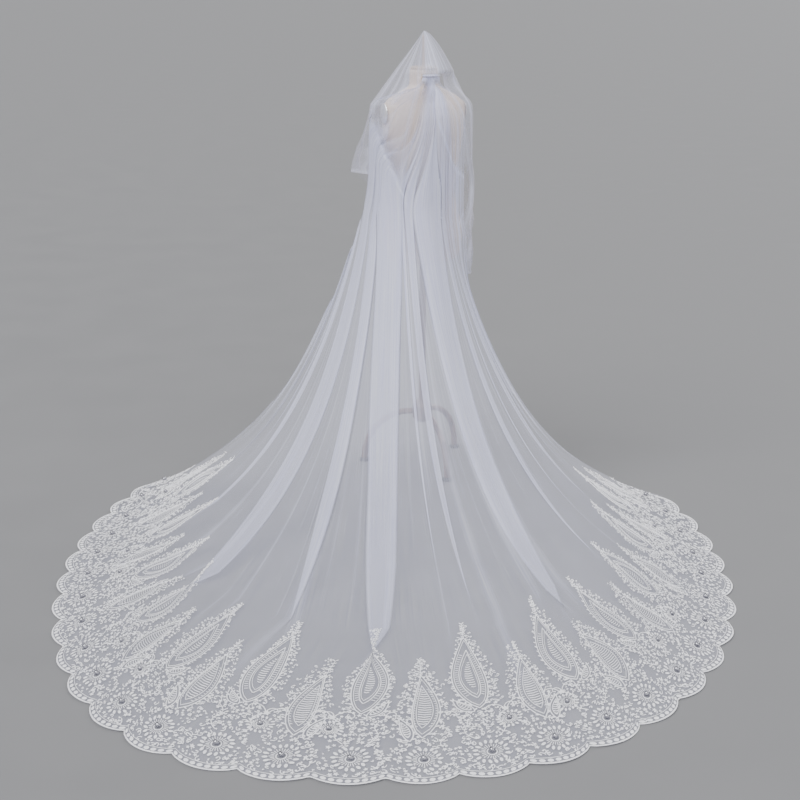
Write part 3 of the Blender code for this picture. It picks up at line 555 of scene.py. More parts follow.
class Materials:
    """Every material of the scene."""

    def __init__(self) -> None:
        """Builds the materials."""
        self.net = self._net()
        self.thread = self._thread()
        self.jersey = self._jersey()
        self.silver = self._spotted(SILVER, 110.0, 0.0040)
        self.wood = self._wood(WOOD)
        self.pale_wood = self._wood(PALE_WOOD)
        self.rubber = self._spotted(RUBBER, 400.0, 0.0002)
        self.crystal = self._spotted(CRYSTAL, 500.0, 0.0004)
        self.pearl = self._spotted(PEARL, 120.0, 0.0001)
        self.floor = self._spotted(FLOOR, 3.0, 0.0)

    def _net(self) -> bpy.types.Material:
        """Sheer net whose density comes from the mesh and from fine threads.

        Returns:
            The material.
        """
        graph = NET.begin()
        density = graph.node("ShaderNodeAttribute", {"attribute_name": "cover"}, {})[2]
        cloth = graph.node("ShaderNodeUVMap", {"uv_map": "cloth"}, {})[0]
        along = graph.node("ShaderNodeVectorMath", {"operation": "MULTIPLY"},
                           {0: cloth, 1: (260.0, 3.0, 1.0)})[0]
        streak = graph.noise(along, 1.0, 3.0)
        cloud = graph.noise(cloth, 9.0, 2.0)
        threads = graph.ramp(streak, 0.30, 0.72)
        soft = 0.84 + threads * 0.22 + (cloud - 0.5) * 0.22
        graph.set(Alpha=(density * soft).least(0.98).most(0.04))
        graph.set(Base_Color=graph.mix(threads, NET.base, NET.second))
        graph.set(Roughness=0.50 + cloud * 0.18)
        graph.bump(streak, 0.0006, 0.5)
        return graph.material

    def _thread(self) -> bpy.types.Material:
        """Satin embroidery thread.

        Returns:
            The material.
        """
        graph = THREAD.begin()
        place = graph.node("ShaderNodeTexCoord", {}, {})[3]
        fine = graph.noise(place, 900.0, 1.0)
        wide = graph.noise(place, 45.0, 2.0)
        graph.set(Base_Color=graph.mix(graph.ramp(wide * 0.6 + fine * 0.4, 0.35, 0.65), THREAD.base, THREAD.second))
        graph.set(Roughness=0.32 + fine * 0.25)
        graph.bump(fine, 0.0006, 0.7)
        return graph.material

    def _jersey(self) -> bpy.types.Material:
        """Cream jersey with a fine knit.

        Returns:
            The material.
        """
        graph = JERSEY.begin()
        place = graph.node("ShaderNodeTexCoord", {}, {})[3]
        knit = graph.node("ShaderNodeTexWave", {"wave_type": "BANDS", "bands_direction": "Z"},
                          {"Vector": place, "Scale": 260.0, "Distortion": 1.5, "Detail": 1.0})[1]
        wide = graph.noise(place, 7.0, 3.0)
        graph.set(Base_Color=graph.mix(graph.ramp(wide, 0.35, 0.7), JERSEY.base, JERSEY.second))
        graph.set(Roughness=0.72 + wide * 0.15)
        graph.bump(knit, 0.0004, 0.5)
        return graph.material

    def _wood(self, finish: Finish) -> bpy.types.Material:
        """Varnished wood with its grain along the height.

        Args:
            finish: its colours and gloss.

        Returns:
            The material.
        """
        graph = finish.begin()
        place = graph.node("ShaderNodeTexCoord", {}, {})[3]
        stretched = graph.node("ShaderNodeVectorMath", {"operation": "MULTIPLY"},
                               {0: place, 1: (60.0, 60.0, 6.0)})[0]
        grain = graph.noise(stretched, 1.0, 5.0)
        graph.set(Base_Color=graph.mix(graph.ramp(grain, 0.35, 0.68), finish.base, finish.second))
        graph.set(Roughness=0.30 + grain * 0.22)
        graph.bump(grain, 0.0004, 0.4)
        return graph.material

    def _spotted(self, finish: Finish, scale: float, depth: float) -> bpy.types.Material:
        """A plain finish broken up by soft noise.

        Args:
            finish: its colours and gloss.
            scale: the noise's fineness.
            depth: the bump's height, or 0 for none.

        Returns:
            The material.
        """
        graph = finish.begin()
        place = graph.node("ShaderNodeTexCoord", {}, {})[3]
        spots = graph.noise(place, scale, 2.0)
        graph.set(Base_Color=graph.mix(graph.ramp(spots, 0.35, 0.65), finish.base, finish.second))
        graph.set(Roughness=finish.roughness * 0.8 + spots * finish.roughness * 0.4)
        if depth > 0.0:
            graph.bump(spots, depth, 0.6)
        return graph.material


def make_mesh(
    name: str,
    points: Array,
    faces: Array,
    material: bpy.types.Material,
    cloth: Array | None = None,
    density: Array | None = None,
) -> bpy.types.Object:
    """An object from arrays.

    Args:
        name: its name.
        points: its points.
        faces: point numbers, three or four for each face.
        material: its material.
        cloth: places on the flat cloth for each point, kept as a UV map.
        density: how dense the net is at each point.

    Returns:
        The object, smooth shaded.
    """
    corners = faces.shape[1]
    mesh = bpy.data.meshes.new(name)
    mesh.vertices.add(len(points))
    mesh.vertices.foreach_set("co", points.astype(np.float32).ravel())
    mesh.loops.add(faces.size)
    mesh.loops.foreach_set("vertex_index", faces.astype(np.int32).ravel())
    mesh.polygons.add(len(faces))
    starts = np.arange(len(faces), dtype=np.int32) * corners
    mesh.polygons.foreach_set("loop_start", starts)
    mesh.update(calc_edges=True)
    mesh.validate()
    if cloth is not None:
        layer = mesh.uv_layers.new(name="cloth")
        indices = np.empty(len(mesh.loops), np.int32)
        mesh.loops.foreach_get("vertex_index", indices)
        layer.data.foreach_set("uv", cloth[indices].astype(np.float32).ravel())
    if density is not None:
        made = mesh.attributes.new("cover", "FLOAT", "POINT")
        made.data.foreach_set("value", density.astype(np.float32))
    mesh.shade_smooth()
    mesh.materials.append(material)
    item = bpy.data.objects.new(name, mesh)
    bpy.context.scene.collection.objects.link(item)
    return item


class FormShape:
    """The dress form's surface."""

    def __init__(self) -> None:
        """Reads the sections."""
        self.table = table_array(FORM_SECTIONS)

    def radius(self, azimuth: Any, height: Any) -> Array:
        """Distance from the axis to the form.

        Args:
            azimuth: azimuths in degrees.
            height: heights over the floor.

        Returns:
            The distances.
        """
        angle = np.radians(np.asarray(azimuth, float) - BACK_AZIMUTH)
        levels = self.table[:, 0]
        half, front, back, power = (np.interp(height, levels, self.table[:, k]) for k in range(1, 5))
        depth = np.where(np.cos(angle) > 0, back, front)
        terms = np.abs(np.sin(angle) / half) ** power + np.abs(np.cos(angle) / depth) ** power
        return terms ** (-1.0 / power)

    def hanging(self, azimuth: Any, height: Any) -> Array:
        """Widest reach of the form at or above a height.

        Args:
            azimuth: azimuths in degrees.
            height: heights over the floor.

        Returns:
            The distances.
        """
        reach = self.radius(azimuth, height)
        for level in self.table[:, 0]:
            reach = np.maximum(reach, self.radius(azimuth, np.maximum(height, level)))
        return reach


class BlusherShape:
    """The short layer's surface."""

    clearance = 0.021
    sewn_in = 0.0115
    cone_base = 1.365
    left_flare = 0.062
    right_out = 0.166
    near_left = -9.0
    near_right = 64.0

    def __init__(self, form: FormShape) -> None:
        """Reads the table.

        Args:
            form: the dress form's surface.
        """
        self.form = form
        self.table = table_array(BLUSHER_FORMS)

    def column(self, azimuth: Any, index: int) -> Array:
        """A column of the table read at azimuths.

        Args:
            azimuth: azimuths from -180 to 180.
            index: the column's number.

        Returns:
            The values.
        """
        return np.interp(azimuth, self.table[:, 0], self.table[:, index])

    def radius(self, azimuth: Any, height: Any) -> Array:
        """Reach of the blusher from the axis.

        Args:
            azimuth: azimuths in degrees.
            height: heights over the floor.

        Returns:
            The distances.
        """
        turned = (np.asarray(azimuth, float) + 180.0) % 360.0 - 180.0
        fallen = np.clip((PEAK_HEIGHT - height) / (PEAK_HEIGHT - self.cone_base), 0.0, None)
        cone = self.column(turned, 1) * np.minimum(fallen, 1.0) ** self.column(turned, 2)
        over_neck = smooth_step(height, NECK_TOP + 0.004, NECK_TOP + 0.05)
        sewn = (1.0 - smooth_step(-turned, 12.0, 30.0)) * (1.0 - smooth_step(turned, 66.0, 84.0))
        sewn = sewn * smooth_step(height, BAND_BOTTOM - 0.006, BAND_BOTTOM + BAND_HEIGHT)
        hang = (self.form.hanging(turned, height) + self.clearance - self.sewn_in * sewn) * (1.0 - over_neck)
        left = smooth_step(-turned, 78.0, 92.0) * (1.0 - smooth_step(-turned, 130.0, 178.0))
        flare = self.left_flare * left * smooth_step(self.cone_base - height, -0.02, 0.26)
        right = smooth_step(turned, 72.0, 96.0) * (1.0 - smooth_step(turned, 120.0, 165.0))
        below = smooth_step(self.cone_base + 0.06 - height, 0.0, 0.16)
        hang = hang + np.maximum(self.right_out - hang, 0.0) * right * below
        near = 1.0 - smooth_step(-turned, 15.0, 65.0) - smooth_step(turned, 66.0, 108.0)
        near = near * smooth_step(NECK_TOP - height, 0.0, 0.03)
        cone = cone + (np.minimum(hang, cone) - cone) * near
        return smooth_max(cone, hang, 0.004) + flare


class HemLine:
    """The hem's line on the floor, without its scallops."""

    half_width = 1.028
    half_length = 1.303
    power = 2.1
    to_axis = 0.929
    start = -125.4
    end = 119.9

    def __init__(self, samples: int = 2001) -> None:
        """Works out the line.

        Args:
            samples: how many points it gets.
        """
        turn = np.radians(np.linspace(self.start, self.end, samples))
        terms = np.abs(np.sin(turn) / self.half_width) ** self.power
        terms += np.abs(np.cos(turn) / self.half_length) ** self.power
        radius = terms ** (-1.0 / self.power)
        radius *= 1.0 + 0.050 * np.exp(-((np.degrees(turn) + 31.0) / 21.0) ** 2)
        self.x = radius * np.sin(turn)
        self.y = FORM_Y - self.to_axis - radius * np.cos(turn)
        steps = np.concatenate([[0.0], np.cumsum(np.hypot(np.diff(self.x), np.diff(self.y)))])
        self.length = float(steps[-1])
        self.place = steps / steps[-1]
        self.azimuth = np.degrees(np.arctan2(self.x - FORM_X, FORM_Y - self.y))
        self.reach = np.hypot(self.x - FORM_X, self.y - FORM_Y)

    def outward(self, places: Array) -> Array:
        """Outward directions on the floor.

        Args:
            places: places along the hem.

        Returns:
            Directions.
        """
        tangent = unit(np.stack([np.gradient(self.x), np.gradient(self.y)], axis=-1))
        out_x = np.interp(places, self.place, tangent[:, 1])
        out_y = np.interp(places, self.place, -tangent[:, 0])
        return np.stack([out_x, out_y, np.zeros_like(out_x)], axis=-1)


class RibCage:
    """The long layer's smooth surface, read by azimuth and share of a rib's length."""

    clearance = 0.034
    over_blusher = 0.010
    over_ramp = 22.0
    top = BAND_BOTTOM - 0.0003

    def __init__(self, hem: HemLine, form: FormShape, blusher: BlusherShape) -> None:
        """Works out the cage.

        Args:
            hem: the hem's line.
            form: the dress form's surface.
            blusher: the short layer's surface.
        """
        self.hem = hem
        self.form = form
        self.blusher = blusher
        self.ribs = table_array(RIBS)
        self.azimuths = np.linspace(hem.azimuth[0], hem.azimuth[-1], 201)
        self.steps = np.linspace(0.0, 1.0, 401)
        self.lengths = np.zeros(len(self.azimuths))
        self.points = np.zeros((len(self.azimuths), len(self.steps), 3))
        for index, azimuth in enumerate(self.azimuths):
            path = at_azimuth(*self.path(float(azimuth)))
            length = np.concatenate([[0.0], np.cumsum(np.linalg.norm(np.diff(path, axis=0), axis=1))])
            self.lengths[index] = length[-1]
            for axis in range(3):
                self.points[index, :, axis] = np.interp(self.steps * length[-1], length, path[:, axis])

    def path(self, azimuth: float, samples: int = 260) -> tuple[Array, Array, Array]:
        """One rib from the comb to the hem.

        Args:
            azimuth: its azimuth at the hem.
            samples: how many heights are read.

        Returns:
            Azimuths, radii and heights.
        """
        waist, waist_height, spread, drop = (
            np.interp(azimuth, self.ribs[:, 0], self.ribs[:, k]) for k in range(1, 5))
        first, last = self.hem.azimuth[0], self.hem.azimuth[-1]
        reach = np.interp(azimuth, self.hem.azimuth, self.hem.reach)
        heights = np.linspace(self.top, 0.0, samples)
        comb_azimuth = BACK_AZIMUTH + COMB_SPREAD * (2.0 * (azimuth - first) / (last - first) - 1.0)
        fan = smooth_step(self.top - heights, 0.0, 0.100)
        azimuths = comb_azimuth + (azimuth - comb_azimuth) * fan
        snug = GATHER_RADIUS - NECK_RADIUS
        hang = self.form.hanging(azimuths, heights) + snug + (self.clearance - snug) * fan
        covered = smooth_step(self.blusher.near_left + self.over_ramp - azimuths, 0.0, self.over_ramp)
        covered = covered * smooth_step(self.top - heights, 0.0, 0.012)
        hang = np.maximum(hang, (self.blusher.radius(azimuths, heights) + self.over_blusher) * covered)
        flare = waist + spread * np.log((waist_height + drop) / (heights + drop))
        flare = hang + (flare - hang) * smooth_step(self.top - heights, 0.0, 0.030)
        radii = np.minimum(smooth_max(hang, flare, 0.03 * fan), reach)
        end_height = (waist_height + drop) * math.exp(-(reach - waist) / spread) - drop
        if end_height > 0.0:
            outward = np.clip((radii - waist) / (reach - waist), 0.0, 1.0)
            heights = np.maximum(heights - end_height * outward ** 2, 0.0)
        if radii[-1] < reach - 0.002:
            extra = np.linspace(radii[-1], reach, samples)[1:]
            radii = np.concatenate([radii, extra])
            heights = np.concatenate([heights, np.zeros(samples - 1)])
            azimuths = np.concatenate([azimuths, np.full(samples - 1, azimuth)])
        else:
            inside = radii < reach
            heights = np.concatenate([heights[inside], [0.0]])
            radii = np.concatenate([radii[inside], [reach]])
            azimuths = np.concatenate([azimuths[inside], [azimuth]])
        return azimuths, radii, heights

    def at(self, azimuth: Array, share: Array) -> Array:
        """Points of the surface.

        Args:
            azimuth: azimuths at the hem.
            share: shares of the ribs' lengths.

        Returns:
            The points.
        """
        across = np.interp(azimuth, self.azimuths, np.arange(len(self.azimuths)))
        along = np.clip(share, 0.0, 1.0) * (len(self.steps) - 1)
        column = np.clip(across.astype(int), 0, len(self.azimuths) - 2)
        row = np.clip(along.astype(int), 0, len(self.steps) - 2)
        side = (across - column)[..., None]
        step = (along - row)[..., None]
        low = self.points[column, row] * (1 - step) + self.points[column, row + 1] * step
        high = self.points[column + 1, row] * (1 - step) + self.points[column + 1, row + 1] * step
        return low * (1 - side) + high * side

    def normal(self, azimuth: Array, share: Array) -> Array:
        """Directions out of the tent, and up on the floor.

        Args:
            azimuth: azimuths at the hem.
            share: shares of the ribs' lengths.

        Returns:
            The directions.
        """
        across = self.at(azimuth + 0.8, share) - self.at(azimuth - 0.8, share)
        along = self.at(azimuth, share + 0.006) - self.at(azimuth, share - 0.006)
        return unit(np.cross(across, along) * -1.0)

    def length(self, azimuth: Array) -> Array:
        """Lengths of ribs from the comb to the hem.

        Args:
            azimuth: azimuths at the hem.

        Returns:
            The lengths.
        """
        return np.interp(azimuth, self.azimuths, self.lengths)


@dataclass
class Crease:
    """A soft line of denser net that runs down the long layer."""

    place: float
    width: float
    strength: float
    start: float
    end: float
    drift: float

    def cover(self, places: Array, shares: Array) -> Array:
        """Cover that the line adds.

        Args:
            places: places along the hem.
            shares: shares of the way down.

        Returns:
            The added cover.
        """
        middle = self.place + self.drift * (shares - self.start)
        across = np.exp(-(((places - middle) / self.width) ** 2))
        along = smooth_step(shares, self.start - 0.08, self.start + 0.08)
        return self.strength * across * along * (1.0 - smooth_step(shares, self.end - 0.35, self.end))


@dataclass
class LongLayer:
    """The long layer of net, with its folds, gathers and ripples."""

    cage: RibCage
    hem: HemLine
    cell: float = 0.0125
    rows: Array = field(init=False)
    places: Array = field(init=False)
    points: Array = field(init=False)
    normals: Array = field(init=False)

    def __post_init__(self) -> None:
        """Works out the grid of the net."""
        self.rows = np.concatenate([
            np.linspace(0.0, 0.10, 15)[:-1],
            np.linspace(0.10, 0.42, 41)[:-1],
            np.linspace(0.42, 1.0, 43)[:-1],
            np.linspace(1.0, 2.0, 41),
        ])
        self.places = self._places()
        shape = (len(self.rows), len(self.places))
        self.points = np.zeros((*shape, 3))
        outward = np.zeros((*shape, 3))
        for index, share in enumerate(self.rows):
            self.points[index], outward[index] = self._row(float(share))
        self.points[..., 2] = np.maximum(self.points[..., 2], NET_WALL)
        self.normals = grid_normals(self._smoothed(), outward)
        self.outward = outward

    def _span(self, fold: Fold) -> tuple[float, float]:
        """Middle of a fold on the hem and half of its cloth.

        Args:
            fold: the fold.

        Returns:
            A place and half a width, both as places.
        """
        middle = float(np.interp(fold.azimuth, self.hem.azimuth, self.hem.place))
        return middle, 1.5 * fold.width / self.hem.length

    def _places(self) -> Array:
        """Places of the columns: even, but closer in the folds.

        Returns:
            The places.
        """
        even = np.linspace(0.0, 1.0, SCALLOPS * 13 + 1)
        marks = []
        for fold in FOLDS:
            middle, half = self._span(fold)
            even = even[np.abs(even - middle) > half + 0.0006]
            count = max(3, round(fold.width / self.cell) + 1)
            for third in (-1.0, -1.0 / 3.0, 1.0 / 3.0):
                part = np.linspace(third, third + 2.0 / 3.0, count + 1)
                near = (third + 0.06, third + 2.0 / 3.0 - 0.06)
                marks.extend(middle + half * np.concatenate([part, near]))
        return np.unique(np.round(np.concatenate([even, marks]), 7))

    def _fold_strength(self, fold: Fold, share: float) -> float:
        """How far a fold is closed on a row.

        Args:
            fold: the fold.
            share: the row's share.

        Returns:
            0 for open to 1 for closed.
        """
        opening = 1.0 - smooth_step(share, fold.end - 0.44, fold.end + 0.22)
        return float(smooth_step(share, 0.05, 0.24) * opening)

    def _row(self, share: float) -> tuple[Array, Array]:
        """One row of the net.

        Args:
            share: the row's share.

        Returns:
            Points and outward directions.
        """
        middle = self.cage.at(np.array([0.0]), np.array([min(share, 1.0) * 0.74]))[0]
        radius = max(math.hypot(middle[0] - FORM_X, middle[1] - FORM_Y), 0.12)
        knots_place = [0.0]
        knots_azimuth = [float(self.hem.azimuth[0])]
        lift_place = [0.0]
        lift = [0.0]
        rise = float(smooth_step(share, 0.05, 0.22) * (1.0 - 0.7 * smooth_step(share, 0.74, 1.0)))
        rise *= 0.42 + 0.58 * float(smooth_step(share, 0.34, 0.62))
        for fold in FOLDS:
            strength = self._fold_strength(fold, share)
            centre, half = self._span(fold)
            width = math.degrees(fold.width * radius ** 0.25 / radius)
            natural = np.interp(centre + half * np.array([-1, -1 / 3, 1 / 3, 1]), self.hem.place, self.hem.azimuth)
            folded = fold.azimuth + width * np.array([-0.5, 0.5, -0.5, 0.5])
            knots_place += list(centre + half * np.array([-1, -1 / 3, 1 / 3, 1]))
            knots_azimuth += list(natural + (folded - natural) * strength)
            height = fold.lift * rise * float(smooth_step(strength, 0.0, 0.6))
            levels = np.array([0, 0, 0.5, 0.5, 1, 1, 0]) * height
            marks = np.array([-1, -1 / 3 - 0.06, -1 / 3 + 0.06, 1 / 3 - 0.06, 1 / 3 + 0.06, 0.90, 1])
            if fold.turn is Turn.RIGHT:
                marks, levels = -marks[::-1], levels[::-1]
            lift_place += list(centre + half * marks)
            lift += list(levels)
        knots_place.append(1.0)
        knots_azimuth.append(float(self.hem.azimuth[-1]))
        lift_place.append(1.0)
        lift.append(0.0)
        azimuth = self._drawn_left(np.interp(self.places, knots_place, knots_azimuth), share)
        raised = np.interp(self.places, lift_place, lift)
        return self._surface(azimuth, raised, share)

    def _drawn_left(self, azimuth: Array, share: float) -> Array:
        """Azimuths of a row, drawn to the left where the folds pass beside the form's axis.

        Args:
            azimuth: the row's azimuths, as at the hem.
            share: the row's share.

        Returns:
            The azimuths in this row.
        """
        points = self.cage.at(azimuth, np.full(len(azimuth), min(share, 1.0) * 0.74))
        radius = np.hypot(points[:, 0] - FORM_X, points[:, 1] - FORM_Y)
        last = 0.75 * np.interp(azimuth, self.hem.azimuth, self.hem.reach)
        offset = np.interp(azimuth, *np.array(FOLD_OFFSETS).T)
        turn = np.arcsin(np.clip(offset / np.maximum(radius, 0.1), 0.0, 0.70)) - np.arcsin(offset / last)
        return azimuth - np.degrees(np.maximum(turn, 0.0)) * float(smooth_step(share, 0.06, 0.24))

    def _surface(self, azimuth: Array, raised: Array, share: float) -> tuple[Array, Array]:
        """Points of a row over the cage, with gathers, ripples and the scallops.

        Args:
            azimuth: the row's azimuths.
            raised: how far the folds raise it.
            share: the row's share.

        Returns:
            Points and outward directions.
        """
        length = self.cage.length(azimuth)
        place = np.interp(azimuth, self.hem.azimuth, self.hem.place)
        begin = 1.0 - depth_at(place) / length
        along = share * begin if share <= 1.0 else begin + (1.0 - begin) * (share - 1.0)
        points = self.cage.at(azimuth, along)
        outward = self.cage.normal(azimuth, along)
        level = unit(points - at_azimuth(0.0, 0.0, points[:, 2]))
        top = 1.0 - smooth_step(share, 0.0, 0.03)
        outward = unit(outward * (1.0 - top) + level * top)
        q = self.places
        uneven = 0.55 + 0.45 * np.sin(23.0 * q + 2.0 * np.sin(9.0 * q))
        gathers = uneven * np.sin(2 * np.pi * (58.0 * q + 1.6 * np.sin(17.0 * q)))
        gathers = gathers + 0.6 * np.sin(2 * np.pi * (97.0 * q + 0.9 * np.sin(31.0 * q)))
        size = 0.0007 + 0.0018 * smooth_step(share, 0.0, 0.05) * (1.0 - smooth_step(share, 0.08, 0.36))
        size = size * (1.0 - smooth_step(share, 0.26, 0.60))
        ripple = np.sin(2 * np.pi * (9.0 * q + 0.5 * np.sin(7.0 * q + 1.0)) + 0.8 * share)
        ripple = ripple + 0.7 * np.sin(2 * np.pi * (21.0 * q + 0.4 * np.sin(11.0 * q)) + 2.1 * share)
        soft = 0.0032 * smooth_step(share, 0.35, 0.8) * (1.0 - 0.75 * smooth_step(share, 1.55, 2.0))
        out = NET_WALL + raised + (gathers + 1.6) * size + (ripple + 1.7) * soft
        points = points + outward * out[:, None]
        if share > 1.76:
            scallop = SCALLOP_DEPTH * np.abs(np.sin(np.pi * q * SCALLOPS)) ** 0.75
            part = (share - 1.76) / 0.24
            points = points + self.hem.outward(q) * (scallop * part)[:, None]
        return points, outward

    def _smoothed(self) -> Array:
        """The grid's points, averaged with those beside them.

        Returns:
            The averaged points.
        """
        padded = np.pad(self.points, ((1, 1), (1, 1), (0, 0)), mode="edge")
        total = sum(
            padded[r:r + self.points.shape[0], c:c + self.points.shape[1]] for r in range(3) for c in range(3))
        return total / 9.0

    def place_on(self, places: Array, depths: Array, raised: Array) -> Array:
        """Points of sewn work on the net.

        Args:
            places: places along the hem.
            depths: distances up from the hem.
            raised: heights over the net.

        Returns:
            The points.
        """
        share = 2.0 - depths / depth_at(np.clip(places, 0.0, 1.0))
        across = np.interp(places, self.places, np.arange(len(self.places)))
        along = np.interp(share, self.rows, np.arange(len(self.rows)))
        column = np.clip(across.astype(int), 0, len(self.places) - 2)
        row = np.clip(along.astype(int), 0, len(self.rows) - 2)
        side = (across - column)[:, None]
        step = (along - row)[:, None]

        def read(grid: Array) -> Array:
            low = grid[row, column] * (1 - step) + grid[row + 1, column] * step
            high = grid[row, column + 1] * (1 - step) + grid[row + 1, column + 1] * step
            return low * (1 - side) + high * side

        return read(self.points) + unit(read(self.outward)) * raised[:, None]

    def density(self) -> Array:
        """How dense the net is: thick with gathers at the comb, sheer lower down.

        Returns:
            A value for each point.
        """
        share = self.rows[:, None]
        q = self.places[None, :]
        base = np.interp(share, (0.0, 0.06, 0.15, 0.26, 0.42, 0.70, 1.0, 2.0),
                         (0.92, 0.84, 0.66, 0.50, 0.36, 0.27, 0.24, 0.20))
        rng = np.random.default_rng(5)
        added = np.zeros((len(self.rows), len(self.places)))
        for number in range(64):
            start = float(rng.uniform(0.0, 0.5) ** 1.5)
            crease = Crease(
                place=(number + float(rng.uniform(0.1, 0.9))) / 64,
                width=float(rng.choice([0.0009, 0.0014, 0.0036])),
                strength=float(rng.uniform(0.04, 0.20)),
                start=start,
                end=start + float(rng.uniform(0.35, 1.5)),
                drift=float(rng.uniform(-0.006, 0.006)),
            )
            added += crease.cover(q, share)
        for fold in FOLDS:
            middle, half = self._span(fold)
            closed = np.array([self._fold_strength(fold, float(row)) for row in self.rows])[:, None]
            for side in (-1.0 / 3.0, 1.0 / 3.0):
                added += 0.20 * closed * np.exp(-(((q - middle - half * side) / (0.05 * half + 0.0004)) ** 2))
        sheer, lines = self._drapery()
        cover = base * (1.0 - 0.80 * sheer) + added * (1.0 - 0.35 * sheer) + lines
        return (cover * (1.0 - 0.80 * beside_plate(*self._round()))).ravel()

    def _round(self) -> tuple[Array, Array]:
        """Azimuths and heights of the grid's points.

        Returns:
            Both.
        """
        x, y, z = (self.points[..., axis] for axis in range(3))
        return np.degrees(np.arctan2(x - FORM_X, FORM_Y - y)), z

    def _drapery(self) -> tuple[Array, Array]:
        """Where the back's drapery is thin, and the lines where its edges lie.

        Returns:
            A share of thin net and an added cover, for each point.
        """
        azimuth, z = self._round()
        fall = smooth_step(z, 0.84, 0.92)
        shoulder = np.minimum(1.30, 1.33 - (azimuth + 62.0) * 0.0070)
        gathers = -29.0 + (z - 1.05) * 100.0
        left = smooth_step(gathers - azimuth, -6.0, 12.0) * smooth_step(z - shoulder, -0.010, 0.018)
        swag = np.interp(azimuth, *np.array(SWAG).T)
        right = smooth_step(azimuth, 34.0, 46.0) * smooth_step(z - swag, -0.010, 0.018)
        right = np.maximum(right * 0.75, smooth_step(azimuth - 28.0 - (1.47 - z) * 200.0, -3.0, 6.0) * (z > 1.30))
        top = 1.0 - smooth_step(z, BAND_BOTTOM - 0.020, BAND_BOTTOM - 0.004)
        lines = 0.40 * np.exp(-(((z - shoulder) / 0.0100) ** 2)) * smooth_step(20.0 - np.abs(azimuth + 36.0), 0.0, 8.0)
        lines = lines + 0.45 * np.exp(-(((z - swag) / 0.0095) ** 2)) * smooth_step(
            36.0 - np.abs(azimuth - 54.0), 0.0, 6.0)
        tail = np.interp(azimuth, (53.0, 85.0), (0.93, 1.07))
        lines = lines + 0.40 * np.exp(-(((z - tail) / 0.0095) ** 2)) * smooth_step(
            18.0 - np.abs(azimuth - 69.0), 0.0, 6.0)
        return np.maximum(left, right) * fall * top, lines * fall

    def build(self, materials: Materials) -> bpy.types.Object:
        """Makes the net.

        Args:
            materials: the scene's materials.

        Returns:
            The object.
        """
        rows, columns = len(self.rows), len(self.places)
        depth = np.where(self.rows <= 1.0, self.rows * 2.3, 2.3 + (self.rows - 1.0) * 0.7)
        cloth = np.stack(np.broadcast_arrays(self.places[None, :] * self.hem.length, depth[:, None]), axis=-1)
        item = make_mesh("long_layer_net", self.points.reshape(-1, 3), grid_faces(rows, columns),
                         materials.net, cloth.reshape(-1, 2), self.density())
        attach(item, "root")
        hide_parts("long_layer_fall", "long_layer_flare", "long_layer_train")
        log.info("long layer: %d rows, %d columns", rows, columns)
        return item


def beside_plate(azimuth: Array, height: Array) -> Array:
    """Where the net lies thin before the silver plate of the near shoulder.

    Args:
        azimuth: azimuths in degrees.
        height: heights over the floor.

    Returns:
        A share from 0 to 1.
    """
    return np.exp(-(((azimuth + 52.0) / 14.0) ** 2 + ((height - 1.343) / 0.045) ** 2) ** 2)


def depth_at(places: Array) -> Array:
    """Depth of the band kept for the lace.

    Args:
        places: places along the hem.

    Returns:
        The depths.
    """
    table = table_array(BORDER_DEPTHS)
    return np.interp(places, table[:, 0], table[:, 1])


